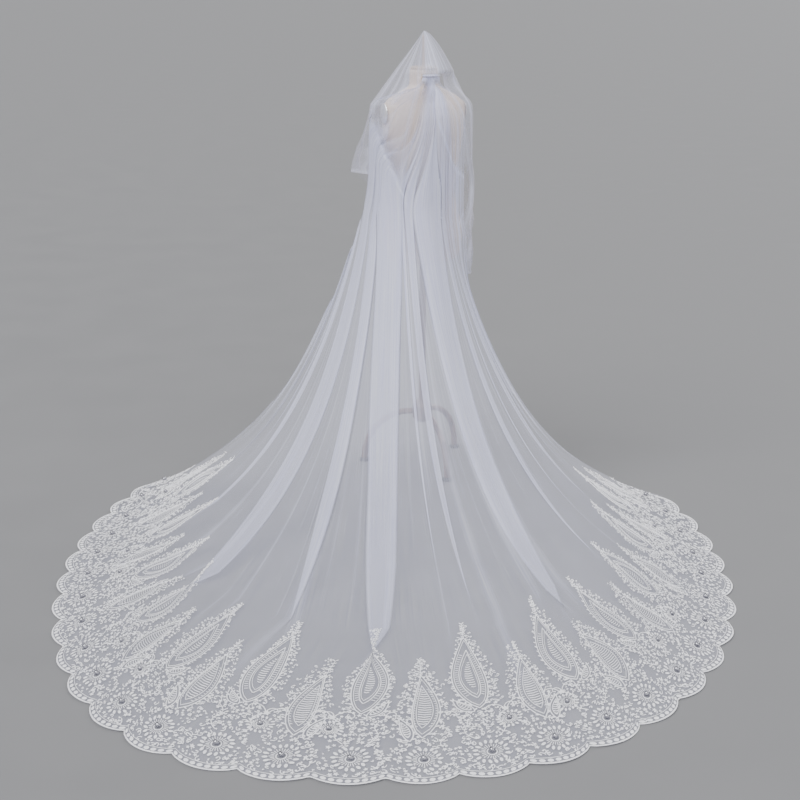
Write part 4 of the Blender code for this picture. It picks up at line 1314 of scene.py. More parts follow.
class Embroidery:
    """Cords and filled stitches laid on the net, gathered into one mesh."""

    def __init__(self, layer: LongLayer) -> None:
        """Starts empty.

        Args:
            layer: the net that is sewn on.
        """
        self.layer = layer
        self.flat: list[Array] = []
        self.raised: list[Array] = []
        self.faces: list[Array] = []
        self.count = 0

    def cord(self, path: Array, width: float, crown: float = 0.0012) -> None:
        """A raised cord.

        Args:
            path: points as x along the hem and y up from it.
            width: its width.
            crown: its height over the net.
        """
        along = unit(np.gradient(path, axis=0))
        side = np.stack([-along[:, 1], along[:, 0]], axis=-1) * width / 2
        number = len(path)
        self.flat.append(np.concatenate([path - side, path, path + side]))
        self.raised.append(np.concatenate([np.zeros(number), np.full(number, crown), np.zeros(number)]) + 0.0009)
        steps = np.arange(number - 1)
        strips = [
            np.stack([steps + k, steps + k + 1, steps + k + number + 1, steps + k + number], axis=-1)
            for k in (0, number)]
        self.faces.append(np.concatenate(strips) + self.count)
        self.count += 3 * number

    def pad(self, centre: Array, size: tuple[float, float], angle: float, crown: float = 0.0014,
            sides: int = 8) -> None:
        """A filled stitch with a raised middle.

        Args:
            centre: its middle as x and y.
            size: half of its length and half of its width.
            angle: its turn in radians.
            crown: its height over the net.
            sides: points round its edge, an even number.
        """
        turn = np.arange(sides) * 2 * np.pi / sides
        shape = np.stack([np.cos(turn) * size[0], np.sin(turn) * size[1]], axis=-1)
        spin = np.array([[math.cos(angle), math.sin(angle)], [-math.sin(angle), math.cos(angle)]])
        self.flat.append(np.concatenate([shape @ spin + centre, [centre]]))
        self.raised.append(np.concatenate([np.zeros(sides), [crown]]) + 0.0009)
        even = np.arange(0, sides, 2)
        fan = np.stack([np.full(len(even), sides), even, even + 1, (even + 2) % sides], axis=-1)
        self.faces.append(fan + self.count)
        self.count += sides + 1

    def star(self, centre: Array, radius: float, turn: float) -> None:
        """A filled flower of five petals.

        Args:
            centre: its middle as x and y.
            radius: its radius.
            turn: its turn in radians.
        """
        angles = turn + np.arange(10) * np.pi / 5
        reach = radius * np.where(np.arange(10) % 2 == 0, 1.0, 0.50)
        shape = np.stack([np.cos(angles) * reach, np.sin(angles) * reach], axis=-1)
        self.flat.append(np.concatenate([shape + centre, [centre]]))
        self.raised.append(np.concatenate([np.zeros(10), [0.0012]]) + 0.0009)
        notch = np.arange(1, 11, 2)
        fan = np.stack([np.full(5, 10), notch, (notch + 1) % 10, (notch + 2) % 10], axis=-1)
        self.faces.append(fan + self.count)
        self.count += 11

    def build(self, name: str, material: bpy.types.Material) -> bpy.types.Object:
        """Makes the mesh.

        Args:
            name: the piece's name.
            material: its material.

        Returns:
            The object.
        """
        flat = np.concatenate(self.flat)
        places = flat[:, 0] / self.layer.hem.length
        depths = squeeze_depth(flat[:, 1], np.clip(places, 0.0, 1.0))
        points = self.layer.place_on(places, depths, np.concatenate(self.raised))
        item = make_mesh(name, points, np.concatenate(self.faces), material)
        log.info("%s: %d faces", name, len(item.data.polygons))
        return item


def squeeze_depth(depths: Array, places: Array) -> Array:
    """Fits the pattern's height to the lace's depth at each place.

    Args:
        depths: heights in the full pattern.
        places: places along the hem.

    Returns:
        The heights on the cloth.
    """
    room = depth_at(places)
    upper = 0.26 + (depths - 0.26) * (room - 0.26) / (FULL_DEPTH - 0.26)
    return np.where(depths < 0.26, depths, upper)


def point_along(path: Array, share: float) -> Array:
    """A point on a path.

    Args:
        path: the path's points.
        share: 0 at its start and 1 at its end.

    Returns:
        The point.
    """
    steps = np.linspace(0.0, 1.0, len(path))
    return np.array([np.interp(share, steps, path[:, k]) for k in range(2)])


@dataclass
class Motif:
    """A hand that draws with cords and stitches in one place of the lace."""

    cords: Embroidery
    fills: Embroidery
    origin: Array
    mirror: float = 1.0
    lean: float = 0.0

    def to_cloth(self, points: Array) -> Array:
        """Points of the motif on the cloth.

        Args:
            points: points as x and y from the origin.

        Returns:
            The points along and up from the hem.
        """
        points = np.asarray(points, float)
        x = points[..., 0] * self.mirror + points[..., 1] * self.lean
        return np.stack([x, points[..., 1]], axis=-1) + self.origin

    def line(self, points: Array, width: float, crown: float = 0.0012) -> None:
        """A cord through points.

        Args:
            points: points as x and y from the origin.
            width: the cord's width.
            crown: its height over the net.
        """
        self.cords.cord(self.to_cloth(points), width, crown)

    def dot(self, centre: Sequence[float], size: tuple[float, float], angle: float = 0.0, sides: int = 6) -> None:
        """A filled stitch.

        Args:
            centre: its middle as x and y from the origin.
            size: half of its length and half of its width.
            angle: its turn in radians.
            sides: points round its edge.
        """
        self.fills.pad(self.to_cloth(np.array(centre)), size, angle * self.mirror, 0.0015, sides)

    def ring(self, centre: Sequence[float], radius: float, width: float, points: int = 14) -> None:
        """A round cord.

        Args:
            centre: its middle.
            radius: its radius.
            width: its width.
            points: how many points it has.
        """
        turn = np.linspace(0.0, 2 * np.pi, points)
        circle = np.stack([np.cos(turn), np.sin(turn)], axis=-1) * radius
        self.line(circle + np.array(centre), width)

    def curl(self, start: Sequence[float], radius: float, heading: float, turns: float, width: float = 0.0030) -> None:
        """A scroll that winds into a small eye.

        Args:
            start: where the scroll begins.
            radius: its largest radius.
            heading: the direction in which it sets off, in radians.
            turns: how far it winds, less than 0 to the right.
            width: the cord's width.
        """
        steps = np.linspace(0.0, 1.0, 9 if radius < 0.010 else 13)
        bend = heading + 2 * np.pi * turns * steps ** 1.3
        pace = radius * (1.25 - steps) * 7.4 / (len(steps) - 1)
        moves = np.stack([np.cos(bend), np.sin(bend)], axis=-1) * pace[:, None]
        path = np.array(start) + np.concatenate([[[0.0, 0.0]], np.cumsum(moves[:-1], axis=0)])
        self.line(path, width)
        self.dot(path[-1], (width * 1.1, width * 1.0))

    def floret(self, centre: Sequence[float], radius: float, turn: float = 0.0) -> None:
        """A small flower of five filled petals round a raised middle.

        Args:
            centre: its middle.
            radius: its radius.
            turn: its turn in radians.
        """
        middle = self.to_cloth(np.array(centre))
        self.fills.star(middle, radius, turn)
        self.fills.pad(middle, (radius * 0.30, radius * 0.30), turn, 0.0026, 6)

    def leaflets(self, path: Array, size: float, spread: float = 0.9) -> None:
        """Pairs of small leaves along a stem.

        Args:
            path: the stem's points.
            size: a leaf's length.
            spread: how far they lean from the stem, in radians.
        """
        along = unit(np.gradient(path, axis=0))
        for point, way in zip(path, along):
            heading = math.atan2(way[1], way[0])
            for side in (-1.0, 1.0):
                angle = heading + side * spread
                middle = point + np.array([math.cos(angle), math.sin(angle)]) * size * 0.6
                self.dot(middle, (size * 0.5, size * 0.2), angle)

    def pointed(self, base: Sequence[float], tip: Sequence[float], half: float, bend: float, width: float,
                count: int = 15) -> tuple[Array, Array]:
        """A leaf's outline of two cords that meet in points.

        Args:
            base: its lower point.
            tip: its upper point.
            half: half of its width.
            bend: how far its axis bows to the side.
            width: the cord's width.
            count: points on each side.

        Returns:
            The left and the right side's points.
        """
        steps = np.linspace(0.0, 1.0, count)
        start, end = np.array(base, float), np.array(tip, float)
        axis = start + (end - start) * steps[:, None]
        way = (end - start) / np.linalg.norm(end - start)
        side = np.array([-way[1], way[0]])
        axis = axis + side * (bend * np.sin(np.pi * steps))[:, None]
        reach = half * np.sin(np.pi * steps ** 0.82) ** 0.85 * (1.0 - 0.25 * steps)
        left = axis + side * reach[:, None]
        right = axis - side * reach[:, None]
        if width > 0.0:
            self.line(left, width)
            self.line(right, width)
        return left, right

    def ladder(self, left: Array, right: Array, rungs: int, width: float = 0.0032) -> None:
        """Cross stitches between the two sides of a leaf.

        Args:
            left: the left side's points.
            right: the right side's points.
            rungs: how many stitches.
            width: their width.
        """
        for share in np.linspace(0.10, 0.90, rungs):
            first = point_along(left, share)
            second = point_along(right, share)
            middle = (first + second) / 2
            path = np.array([first * 0.82 + middle * 0.18, middle + [0.0, -0.003], second * 0.82 + middle * 0.18])
            self.line(path, width, 0.0014)

    def hatch(self, inner: Array, outer: Array, count: int, width: float = 0.0026) -> None:
        """Slanting stitches between two outlines.

        Args:
            inner: points of the inner outline.
            outer: points of the outer outline.
            count: how many stitches.
            width: their width.
        """
        for share in np.linspace(0.08, 0.88, count):
            first = point_along(inner, share)
            second = point_along(outer, 0.08 + share * 0.80)
            path = np.array([first * 0.8 + second * 0.2, second * 0.8 + first * 0.2])
            self.line(path, width, 0.0010)


class Figure(Enum):
    """The leaf that stands in a scallop."""

    TALL = 0
    SHORT = 1
    NONE = 2


TALL_OUTLINE = (
    (0.26, 0.0845), (0.30, 0.082), (0.35, 0.066), (0.44, 0.080), (0.53, 0.070), (0.60, 0.052),
    (0.66, 0.036), (0.72, 0.020), (0.775, 0.007), (0.78, -1.0),
)
SHORT_OUTLINE = (
    (0.26, 0.0845), (0.30, 0.076), (0.36, 0.070), (0.44, 0.056), (0.50, 0.036), (0.55, 0.018),
    (0.59, 0.006), (0.60, -1.0),
)


@dataclass
class LaceBorder:
    """The scalloped lace border with its pattern of rosettes, leaves and scrolls."""

    layer: LongLayer
    rng: np.random.Generator = field(default_factory=lambda: np.random.default_rng(11))
    rosettes: list[tuple[float, float, float]] = field(default_factory=list)
    kept: list[tuple[float, float, float]] = field(default_factory=list)
    glints: list[tuple[float, float]] = field(default_factory=list)

    @property
    def pitch(self) -> float:
        """A scallop's width."""
        return self.layer.hem.length / SCALLOPS

    def keep(self, motif: Motif, centre: Sequence[float], radius: float) -> None:
        """Keeps a circle free of fillings.

        Args:
            motif: the hand whose places are meant.
            centre: the circle's middle.
            radius: its radius.
        """
        cloth = motif.to_cloth(np.array(centre))
        self.kept.append((float(cloth[0]), float(cloth[1]), radius))

    def edge(self, edging: Embroidery) -> None:
        """The corded edge with its row of filled eyelets.

        Args:
            edging: takes the stitches.
        """
        length = self.layer.hem.length
        along = np.linspace(0.001, length - 0.001, SCALLOPS * 24 + 1)
        edging.cord(np.stack([along, np.full(len(along), 0.0028)], axis=-1), 0.0050, 0.0018)
        edging.cord(np.stack([along, np.full(len(along), 0.0232)], axis=-1), 0.0018, 0.0008)
        for scallop in range(SCALLOPS):
            for bar in range(9):
                x = (scallop + (bar + 0.5) / 9.0) * self.pitch
                edging.pad(np.array([x, 0.0132]), (0.0074, 0.0064), 0.0, 0.0024, 8)

    def rosette(self, motif: Motif, centre: tuple[float, float], radius: float) -> None:
        """A round flower with a crystal, fine rays and a broken ring of petals.

        Args:
            motif: draws it.
            centre: its middle from the motif's origin.
            radius: its radius.
        """
        rng = self.rng
        motif.ring(centre, radius * 0.24, 0.0036)
        start = rng.uniform(0.0, 1.0)
        for index in range(24):
            angle = start + index * 2 * np.pi / 24
            way = np.array([math.cos(angle), math.sin(angle)])
            path = np.array([centre + way * radius * 0.32, centre + way * radius * (0.50 + 0.06 * (index % 2))])
            motif.line(path, 0.0021, 0.0010)
        for index in range(17):
            angle = start + index * 2 * np.pi / 17
            reach = radius * rng.uniform(0.70, 0.79)
            middle = (centre[0] + math.cos(angle) * reach, centre[1] + math.sin(angle) * reach)
            motif.dot(middle, (radius * 0.145, radius * 0.082), angle + rng.uniform(-0.45, 0.55), 8)
        self.keep(motif, centre, radius * 0.97)
        cloth = motif.to_cloth(np.array(centre))
        self.rosettes.append((float(cloth[0]), float(cloth[1]), radius))

    def keep_leaf(self, motif: Motif, left: Array, right: Array) -> None:
        """Keeps a leaf's inside free of fillings.

        Args:
            motif: draws it.
            left: its left outline.
            right: its right outline.
        """
        for first, second in zip(left[1:-1], right[1:-1]):
            self.keep(motif, (first + second) / 2, float(np.linalg.norm(first - second)) / 2 + 0.001)

    def fringe(self, motif: Motif, edge: Array, side: float, count: int, size: float) -> None:
        """Small leaves along the outside of an outline.

        Args:
            motif: draws them.
            edge: the outline.
            side: 1 for its left and -1 for its right.
            count: how many leaves.
            size: a leaf's length.
        """
        for share in np.linspace(0.05, 0.95, count):
            point = point_along(edge, share)
            ahead = point_along(edge, min(share + 0.03, 1.0)) - point_along(edge, share - 0.03)
            lean = math.atan2(ahead[1], ahead[0]) + side * self.rng.uniform(0.5, 1.0)
            shift = np.array([math.cos(lean), math.sin(lean)])
            long = size * self.rng.uniform(0.8, 1.2)
            motif.dot(point + shift * size * 1.1, (long, long * 0.42), lean)

    def tall_leaf(self, motif: Motif, top: float, half: float, bend: float) -> None:
        """A tall pointed leaf of nested outlines with a ladder in its heart.

        Args:
            motif: draws it.
            top: the height of its point.
            half: half of its width.
            bend: how far it bows.
        """
        base = 0.29
        span = top - base
        outer = motif.pointed((0.0, base), (0.0, top), half, bend, 0.0040, 21)
        second = motif.pointed((0.0, base + span * 0.03), (0.0, top - span * 0.05), half * 0.86, bend, 0.0026, 19)
        middle = motif.pointed((0.0, base + span * 0.13), (0.0, top - span * 0.20), half * 0.56, bend, 0.0034, 17)
        motif.pointed((0.0, base + span * 0.17), (0.0, top - span * 0.26), half * 0.45, bend, 0.0022, 15)
        heart = motif.pointed((0.0, base + span * 0.24), (0.0, top - span * 0.34), half * 0.29, bend * 0.9, 0.0, 13)
        motif.ladder(heart[0], heart[1], 12)
        for side in range(2):
            motif.hatch(middle[side], second[side], 20)
            self.fringe(motif, outer[side], 1.0 if side == 0 else -1.0, 15, 0.0068)
        self.keep_leaf(motif, outer[0], outer[1])
        for side in (-1.0, 1.0):
            self.vine(motif, (side * 0.030, 0.150), (side * 0.072, 0.262), side * 0.016)
        stem = np.stack([np.linspace(0.0, bend * 0.3, 8), np.linspace(top - 0.01, 0.765, 8)], axis=-1)
        motif.line(stem, 0.0030)
        motif.leaflets(stem[1:], 0.0125)

    def small_leaf(self, motif: Motif, base: tuple[float, float], tip: tuple[float, float], half: float,
                   rungs: int) -> None:
        """A smaller leaf with a ladder.

        Args:
            motif: draws it.
            base: its lower point.
            tip: its upper point.
            half: half of its width.
            rungs: how many stitches its ladder has.
        """
        start, end = np.array(base, float), np.array(tip, float)
        left, right = motif.pointed(base, tip, half, half * 0.3, 0.0036, 13)
        if rungs > 10:
            second = motif.pointed(start + (end - start) * 0.05, start + (end - start) * 0.93, half * 0.86,
                                   half * 0.27, 0.0022, 13)
            third = motif.pointed(start + (end - start) * 0.10, start + (end - start) * 0.86, half * 0.70,
                                  half * 0.23, 0.0, 11)
            for side in range(2):
                motif.hatch(third[side], second[side], 16)
        inner = motif.pointed(start + (end - start) * 0.14, start + (end - start) * 0.82, half * 0.6, half * 0.2,
                              0.0024, 11)
        motif.ladder(inner[0], inner[1], rungs)
        for edge, side in ((left, 1.0), (right, -1.0)):
            self.fringe(motif, edge, side, max(4, rungs // 2 + 2), 0.0062)
        self.keep_leaf(motif, left, right)

    def vine(self, motif: Motif, start: tuple[float, float], end: tuple[float, float], sway: float) -> None:
        """A swaying stem with small leaves that ends in a scroll.

        Args:
            motif: draws it.
            start: its lower end.
            end: its upper end.
            sway: how far it swings to the side.
        """
        steps = np.linspace(0.0, 1.0, 9)
        path = np.array(start) + (np.array(end) - np.array(start)) * steps[:, None]
        path[:, 0] += sway * np.sin(2 * np.pi * steps)
        motif.line(path, 0.0030)
        motif.leaflets(path[1:-1], 0.0100)
        motif.curl(path[-1], 0.0115, math.pi / 2, -0.85 if sway > 0 else 0.85, 0.0032)
        for point in path[1:-1]:
            self.keep(motif, point, 0.0060)

    def scallop(self, motif: Motif, figure: Figure) -> None:
        """The large figures of one scallop.

        Args:
            motif: draws them.
            figure: the leaf that stands in it.
        """
        rng = self.rng
        self.rosette(motif, (rng.uniform(-0.004, 0.004), 0.094 + rng.uniform(-0.004, 0.004)), 0.054)
        if figure is Figure.TALL:
            self.rosette(motif, (0.44 * self.pitch, 0.212 + rng.uniform(-0.004, 0.004)), 0.046)
            self.tall_leaf(motif, 0.690, 0.064, float(rng.choice([-0.014, 0.014])))
            self.small_leaf(motif, (-0.018, 0.275), (-0.078, 0.345), 0.018, 6)
            for side in (-1.0, 1.0):
                start = (0.44 * self.pitch + side * 0.004, 0.268)
                motif.curl(start, 0.0175, math.pi / 2 - side * 0.5, -0.85 * side, 0.0034)
            motif.floret((0.44 * self.pitch, 0.264), 0.0125, 0.3)
            self.keep(motif, (0.44 * self.pitch, 0.290), 0.022)
        elif figure is Figure.SHORT:
            self.small_leaf(motif, (0.004, 0.175), (0.010, 0.490), 0.046, 16)
            self.small_leaf(motif, (0.036, 0.160), (0.070, 0.262), 0.018, 7)
            stem = np.stack([np.full(6, 0.011), np.linspace(0.485, 0.575, 6)], axis=-1)
            motif.line(stem, 0.0030)
            motif.leaflets(stem[1:], 0.0120)

    def wanted(self, x: Array, y: Array) -> Array:
        """Where small fillings belong.

        Args:
            x: distances along the hem.
            y: distances up from it.

        Returns:
            A share from 0 for bare net to 1 for full cover.
        """
        number = np.floor(x / self.pitch).astype(int)
        mirror = np.where(number % 4 < 2, 1.0, -1.0)
        across = (x - (number + 0.5) * self.pitch) * mirror
        tall = np.interp(y, *np.array(TALL_OUTLINE).T)
        short = np.interp(y, *np.array(SHORT_OUTLINE).T)
        reach = np.where(number % 2 == 0, tall, short)
        outermost = (number == 0) | (number >= SCALLOPS - 1)
        reach = np.where(outermost & (y > 0.19), -1.0, reach)
        inside = 1.0 - smooth_step(np.abs(across) - reach, -0.006, 0.004)
        bare = np.hypot((np.abs(across) - 0.5 * self.pitch) / 0.025, (y - 0.150) / 0.040)
        between = np.hypot((across + 0.5 * self.pitch) / 0.024, (y - 0.235) / 0.030)
        return inside * smooth_step(bare, 0.7, 1.1) * smooth_step(between, 0.7, 1.1)

    def fill(self, florets: Motif, scrolls: Motif) -> None:
        """Small flowers, leaves and scrolls between the larger figures.

        Args:
            florets: draws the filled ones.
            scrolls: draws the corded ones.
        """
        rng = self.rng
        count = 150000
        x = rng.uniform(0.004, self.layer.hem.length - 0.004, count)
        y = rng.uniform(0.029, FULL_DEPTH, count)
        chosen = rng.uniform(size=count) < self.wanted(x, y)
        radii = rng.uniform(0.0048, 0.0080, count)
        cell = 0.018
        taken: dict[tuple[int, int], list[tuple[float, float, float]]] = {}

        def claim(a: float, b: float, c: float) -> None:
            for column in range(int((a - c) / cell), int((a + c) / cell) + 1):
                for row in range(int((b - c) / cell), int((b + c) / cell) + 1):
                    taken.setdefault((column, row), []).append((a, b, c))

        for circle in self.kept:
            claim(*circle)
        made = 0
        for a, b, c in zip(x[chosen], y[chosen], radii[chosen]):
            near = (
                other
                for column in (int((a - c) / cell), int((a + c) / cell))
                for row in (int((b - c) / cell), int((b + c) / cell))
                for other in taken.get((column, row), ()))
            if any(math.hypot(a - other[0], b - other[1]) < other[2] + c * 0.66 for other in near):
                continue
            claim(a, b, c)
            made += 1
            self._filling(florets, scrolls, (float(a), float(b)), float(c))
        log.info("lace fillings: %d", made)

    def _filling(self, florets: Motif, scrolls: Motif, place: tuple[float, float], radius: float) -> None:
        """One small filling.

        Args:
            florets: draws the filled ones.
            scrolls: draws the corded ones.
            place: where it goes.
            radius: its room.
        """
        rng = self.rng
        kind = rng.uniform()
        angle = rng.uniform(0.0, 2 * np.pi)
        if kind < 0.30:
            florets.floret(place, radius * 1.08, angle)
        elif kind < 0.78:
            start = (place[0] - math.cos(angle) * radius * 0.9, place[1] - math.sin(angle) * radius * 0.9)
            scrolls.curl(start, radius * 0.62, angle - 0.9, float(rng.choice([-0.8, 0.8])), 0.0028)
        else:
            for shift, size in ((-0.5, 0.85), (0.5, 0.7)):
                lean = angle + shift
                middle = (place[0] + math.cos(lean) * radius * 0.5, place[1] + math.sin(lean) * radius * 0.5)
                florets.dot(middle, (radius * size * 0.72, radius * size * 0.30), lean)
        if rng.uniform() < 0.06:
            self.glints.append(place)

    def build(self, materials: Materials) -> list[bpy.types.Object]:
        """Makes the lace in its pieces and its beads.

        Args:
            materials: the scene's materials.

        Returns:
            The pieces.
        """
        works = {name: Embroidery(self.layer) for name in
                 ("lace_edge", "lace_figures", "lace_florets", "lace_scrolls")}
        self.edge(works["lace_edge"])
        for number in range(SCALLOPS):
            origin = np.array([(number + 0.5) * self.pitch, 0.0])
            mirror = 1.0 if number % 4 < 2 else -1.0
            figures = works["lace_figures"]
            motif = Motif(figures, figures, origin, mirror, float(self.rng.uniform(-0.02, 0.02)))
            figure = Figure.TALL if number % 2 == 0 else Figure.SHORT
            self.scallop(motif, Figure.NONE if number in (0, SCALLOPS - 1) else figure)
        origin = np.zeros(2)
        florets = works["lace_florets"]
        scrolls = works["lace_scrolls"]
        self.fill(Motif(florets, florets, origin), Motif(scrolls, scrolls, origin))
        pieces = [work.build(name, materials.thread) for name, work in works.items()]
        for piece in pieces:
            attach(piece, "root")
        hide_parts("lace_border")
        return pieces + self.beads(materials)

    def beads(self, materials: Materials) -> list[bpy.types.Object]:
        """Crystals in the rosettes, each in a ring of small beads, and glints between them.

        Args:
            materials: the scene's materials.

        Returns:
            The pieces.
        """
        crystals = [(x, y, radius * 0.165) for x, y, radius in self.rosettes]
        pearls = []
        for x, y, radius in self.rosettes:
            for index in range(8):
                angle = index * math.pi / 4
                pearls.append((x + math.cos(angle) * radius * 0.60, y + math.sin(angle) * radius * 0.60, 0.0024))
        pearls += [(x, y, 0.0030) for x, y in self.glints]
        made = []
        for name, spots, material, slot in (
            ("lace_crystals", crystals, materials.crystal, "lace"),
            ("lace_pearls", pearls, materials.pearl, "lace"),
        ):
            item = self._spheres(name, spots, material)
            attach(item, "root")
            made.append(item)
        return made

    def _spheres(self, name: str, spots: list[tuple[float, float, float]],
                 material: bpy.types.Material) -> bpy.types.Object:
        """Round beads sewn on the net.

        Args:
            name: the piece's name.
            spots: x along the hem, y up from it and a radius, for each bead.
            material: their material.

        Returns:
            The object.
        """
        table = np.array(spots)
        places = np.clip(table[:, 0] / self.layer.hem.length, 0.0, 1.0)
        depths = squeeze_depth(table[:, 1], places)
        centres = self.layer.place_on(places, depths, table[:, 2] * 0.55 + 0.0022)
        rings, sides = 5, 8
        tilt = np.linspace(0.0, np.pi, rings + 1)[:, None]
        turn = (np.arange(sides) * 2 * np.pi / sides)[None, :]
        ball = np.stack(np.broadcast_arrays(
            np.sin(tilt) * np.cos(turn), np.sin(tilt) * np.sin(turn), np.cos(tilt) * 0.8), axis=-1).reshape(-1, 3)
        points = centres[:, None, :] + ball[None] * table[:, 2][:, None, None]
        one = grid_faces(rings + 1, sides, closed=True)
        faces = one[None] + (np.arange(len(table)) * len(ball))[:, None, None]
        return make_mesh(name, points.reshape(-1, 3), faces.reshape(-1, 4), material)


def bottoms_at(shape: BlusherShape, azimuths: Array) -> Array:
    """Heights of the blusher's lower edge.

    Args:
        shape: the blusher's surface.
        azimuths: azimuths from -180 to 180.

    Returns:
        The heights.
    """
    return shape.column(azimuths, 3)


@dataclass
class Blusher:
    """The short layer: round over the comb, open below it at the back."""

    shape: BlusherShape
    columns: int = 220
    near_columns: int = 44

    def _relief(self, azimuth: Array, height: Array, wave: Array, edge: Array) -> Array:
        """Waves and folds of the cloth.

        Args:
            azimuth: azimuths in degrees.
            height: heights over the floor.
            wave: places along the edge, from 0 to 1.
            edge: 1 away from the comb.

        Returns:
            How far the cloth stands out.
        """
        fallen = PEAK_HEIGHT - height
        depth = smooth_step(fallen, 0.06, 0.60)
        near = (azimuth > -82.0) & (azimuth < 66.0)
        broad = (0.5 - 0.5 * np.cos(2 * np.pi * 10 * wave)) * depth * np.where(near, 0.004, 0.014) * edge
        fine = np.sin(2 * np.pi * (31.0 * wave + 0.7 * np.sin(9.0 * wave)))
        fine = fine + 0.6 * np.sin(2 * np.pi * (53.0 * wave + 0.2))
        return broad + (fine + 1.6) * 0.0011 * smooth_step(fallen, 0.02, 0.20)

    def build(self, materials: Materials) -> bpy.types.Object:
        """Makes the blusher.

        Args:
            materials: the scene's materials.

        Returns:
            The object.
        """
        shape = self.shape
        near_bottom = BAND_BOTTOM + BAND_HEIGHT + 0.0003 + NET_WALL * 0.6
        share = np.linspace(0.0, 1.0, self.columns + 1)
        near_share = np.linspace(0.0, 1.0, self.near_columns + 1)[1:-1]
        width = shape.near_right - shape.near_left
        round_azimuths = shape.near_left - (360.0 - width) * share
        top_azimuths = np.concatenate([round_azimuths, round_azimuths[-1] - width * near_share])
        top_wave = np.concatenate([share, 1.0 + near_share])
        edge = np.concatenate([np.ones(len(share)), np.zeros(len(near_share))])
        tops = PEAK_HEIGHT - (PEAK_HEIGHT - near_bottom) * np.linspace(0.02, 1.0, 22)
        rows = [(top_azimuths, np.full(len(top_azimuths), level), top_wave, edge) for level in tops]
        turned = (round_azimuths + 180.0) % 360.0 - 180.0
        bottoms = shape.column(turned, 3)
        for part in np.linspace(0.0, 1.0, 62)[1:]:
            heights = near_bottom + (bottoms - near_bottom) * part
            fallen = near_bottom - heights
            left = shape.near_left - 18.0 * smooth_step(fallen[0], 0.0, 0.38)
            right = float(np.interp(heights[-1], *np.array(RIGHT_EDGE).T)) - 360.0
            rows.append((left + (right - left) * share, heights, share, np.ones(len(share))))
        blocks = []
        density = []
        cloth = []
        rng = np.random.default_rng(8)
        lines = [(float(rng.uniform(0.0, 1.2)), float(rng.uniform(-1.0, 1.0))) for _ in range(34)]
        for azimuths, heights, wave, away in rows:
            turned_row = (azimuths + 180.0) % 360.0 - 180.0
            radii = shape.radius(azimuths, heights) + self._relief(azimuths, heights, wave, away)
            blocks.append(at_azimuth(azimuths, radii, heights))
            comb_side = np.exp(-((turned_row - BACK_AZIMUTH) / 42.0) ** 2) * smooth_step(heights, 1.36, 1.50)
            streak = sum(0.5 * np.exp(-(((wave - place + 0.06 * (heights - 1.3) * lean) / 0.006) ** 2))
                         for place, lean in lines)
            shoulder_line = 1.33 - (turned_row + 62.0) * 0.0070
            side = (turned_row > -64.0) & (turned_row < -10.0)
            below = smooth_step(shoulder_line - heights, -0.004, 0.010) * side
            crease = np.exp(-(((heights - shoulder_line) / 0.007) ** 2)) * side
            hem = np.exp(-(((heights - bottoms_at(shape, turned_row)) / 0.006) ** 2))
            above = smooth_step(heights, 1.30, 1.37)
            outline = 0.26 * np.exp(-(((turned_row + 78.0) / 7.0) ** 2)) * above
            outline = outline + 0.26 * np.exp(-(((turned_row - 93.0) / 6.0) ** 2))
            for middle, wide in ((8.0, 2.6), (19.0, 3.4), (31.0, 2.4), (47.0, 3.0)):
                outline = outline + 0.30 * np.exp(-(((turned_row - middle) / wide) ** 2)) * smooth_step(
                    heights, BAND_BOTTOM - 0.02, BAND_BOTTOM + 0.04)
            cover = 0.23 + 0.34 * comb_side + 0.5 * streak + 0.10 * below + 0.30 * crease + 0.25 * hem + outline
            density.append(cover * (1.0 - 0.80 * beside_plate(turned_row, heights)))
            cloth.append(np.stack([wave * 2.4, PEAK_HEIGHT - heights], axis=-1))
        apex = at_azimuth(0.0, 0.0, PEAK_HEIGHT)[None, :]
        points = np.concatenate(blocks + [apex])
        ring = len(top_azimuths)
        faces = [grid_faces(len(tops), ring, closed=True)]
        first = (len(tops) - 1) * ring
        columns = len(share)
        for index in range(len(rows) - len(tops)):
            start = first if index == 0 else first + ring + (index - 1) * columns
            following = first + ring + index * columns
            steps = np.arange(columns - 1)
            faces.append(np.stack([start + steps, following + steps, following + steps + 1, start + steps + 1],
                                  axis=-1))
        steps = np.arange(0, ring, 2)
        last = len(points) - 1
        faces.append(np.stack([np.full(len(steps), last), steps, steps + 1, (steps + 2) % ring], axis=-1))
        cloth.append(np.array([[1.2, 0.0]]))
        density.append(np.array([0.5]))
        item = make_mesh("blusher_net", points, np.concatenate(faces), materials.net, np.concatenate(cloth),
                         np.concatenate(density))
        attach(item, "root")
        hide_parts("blusher")
        log.info("blusher: %d faces", len(item.data.polygons))
        return item


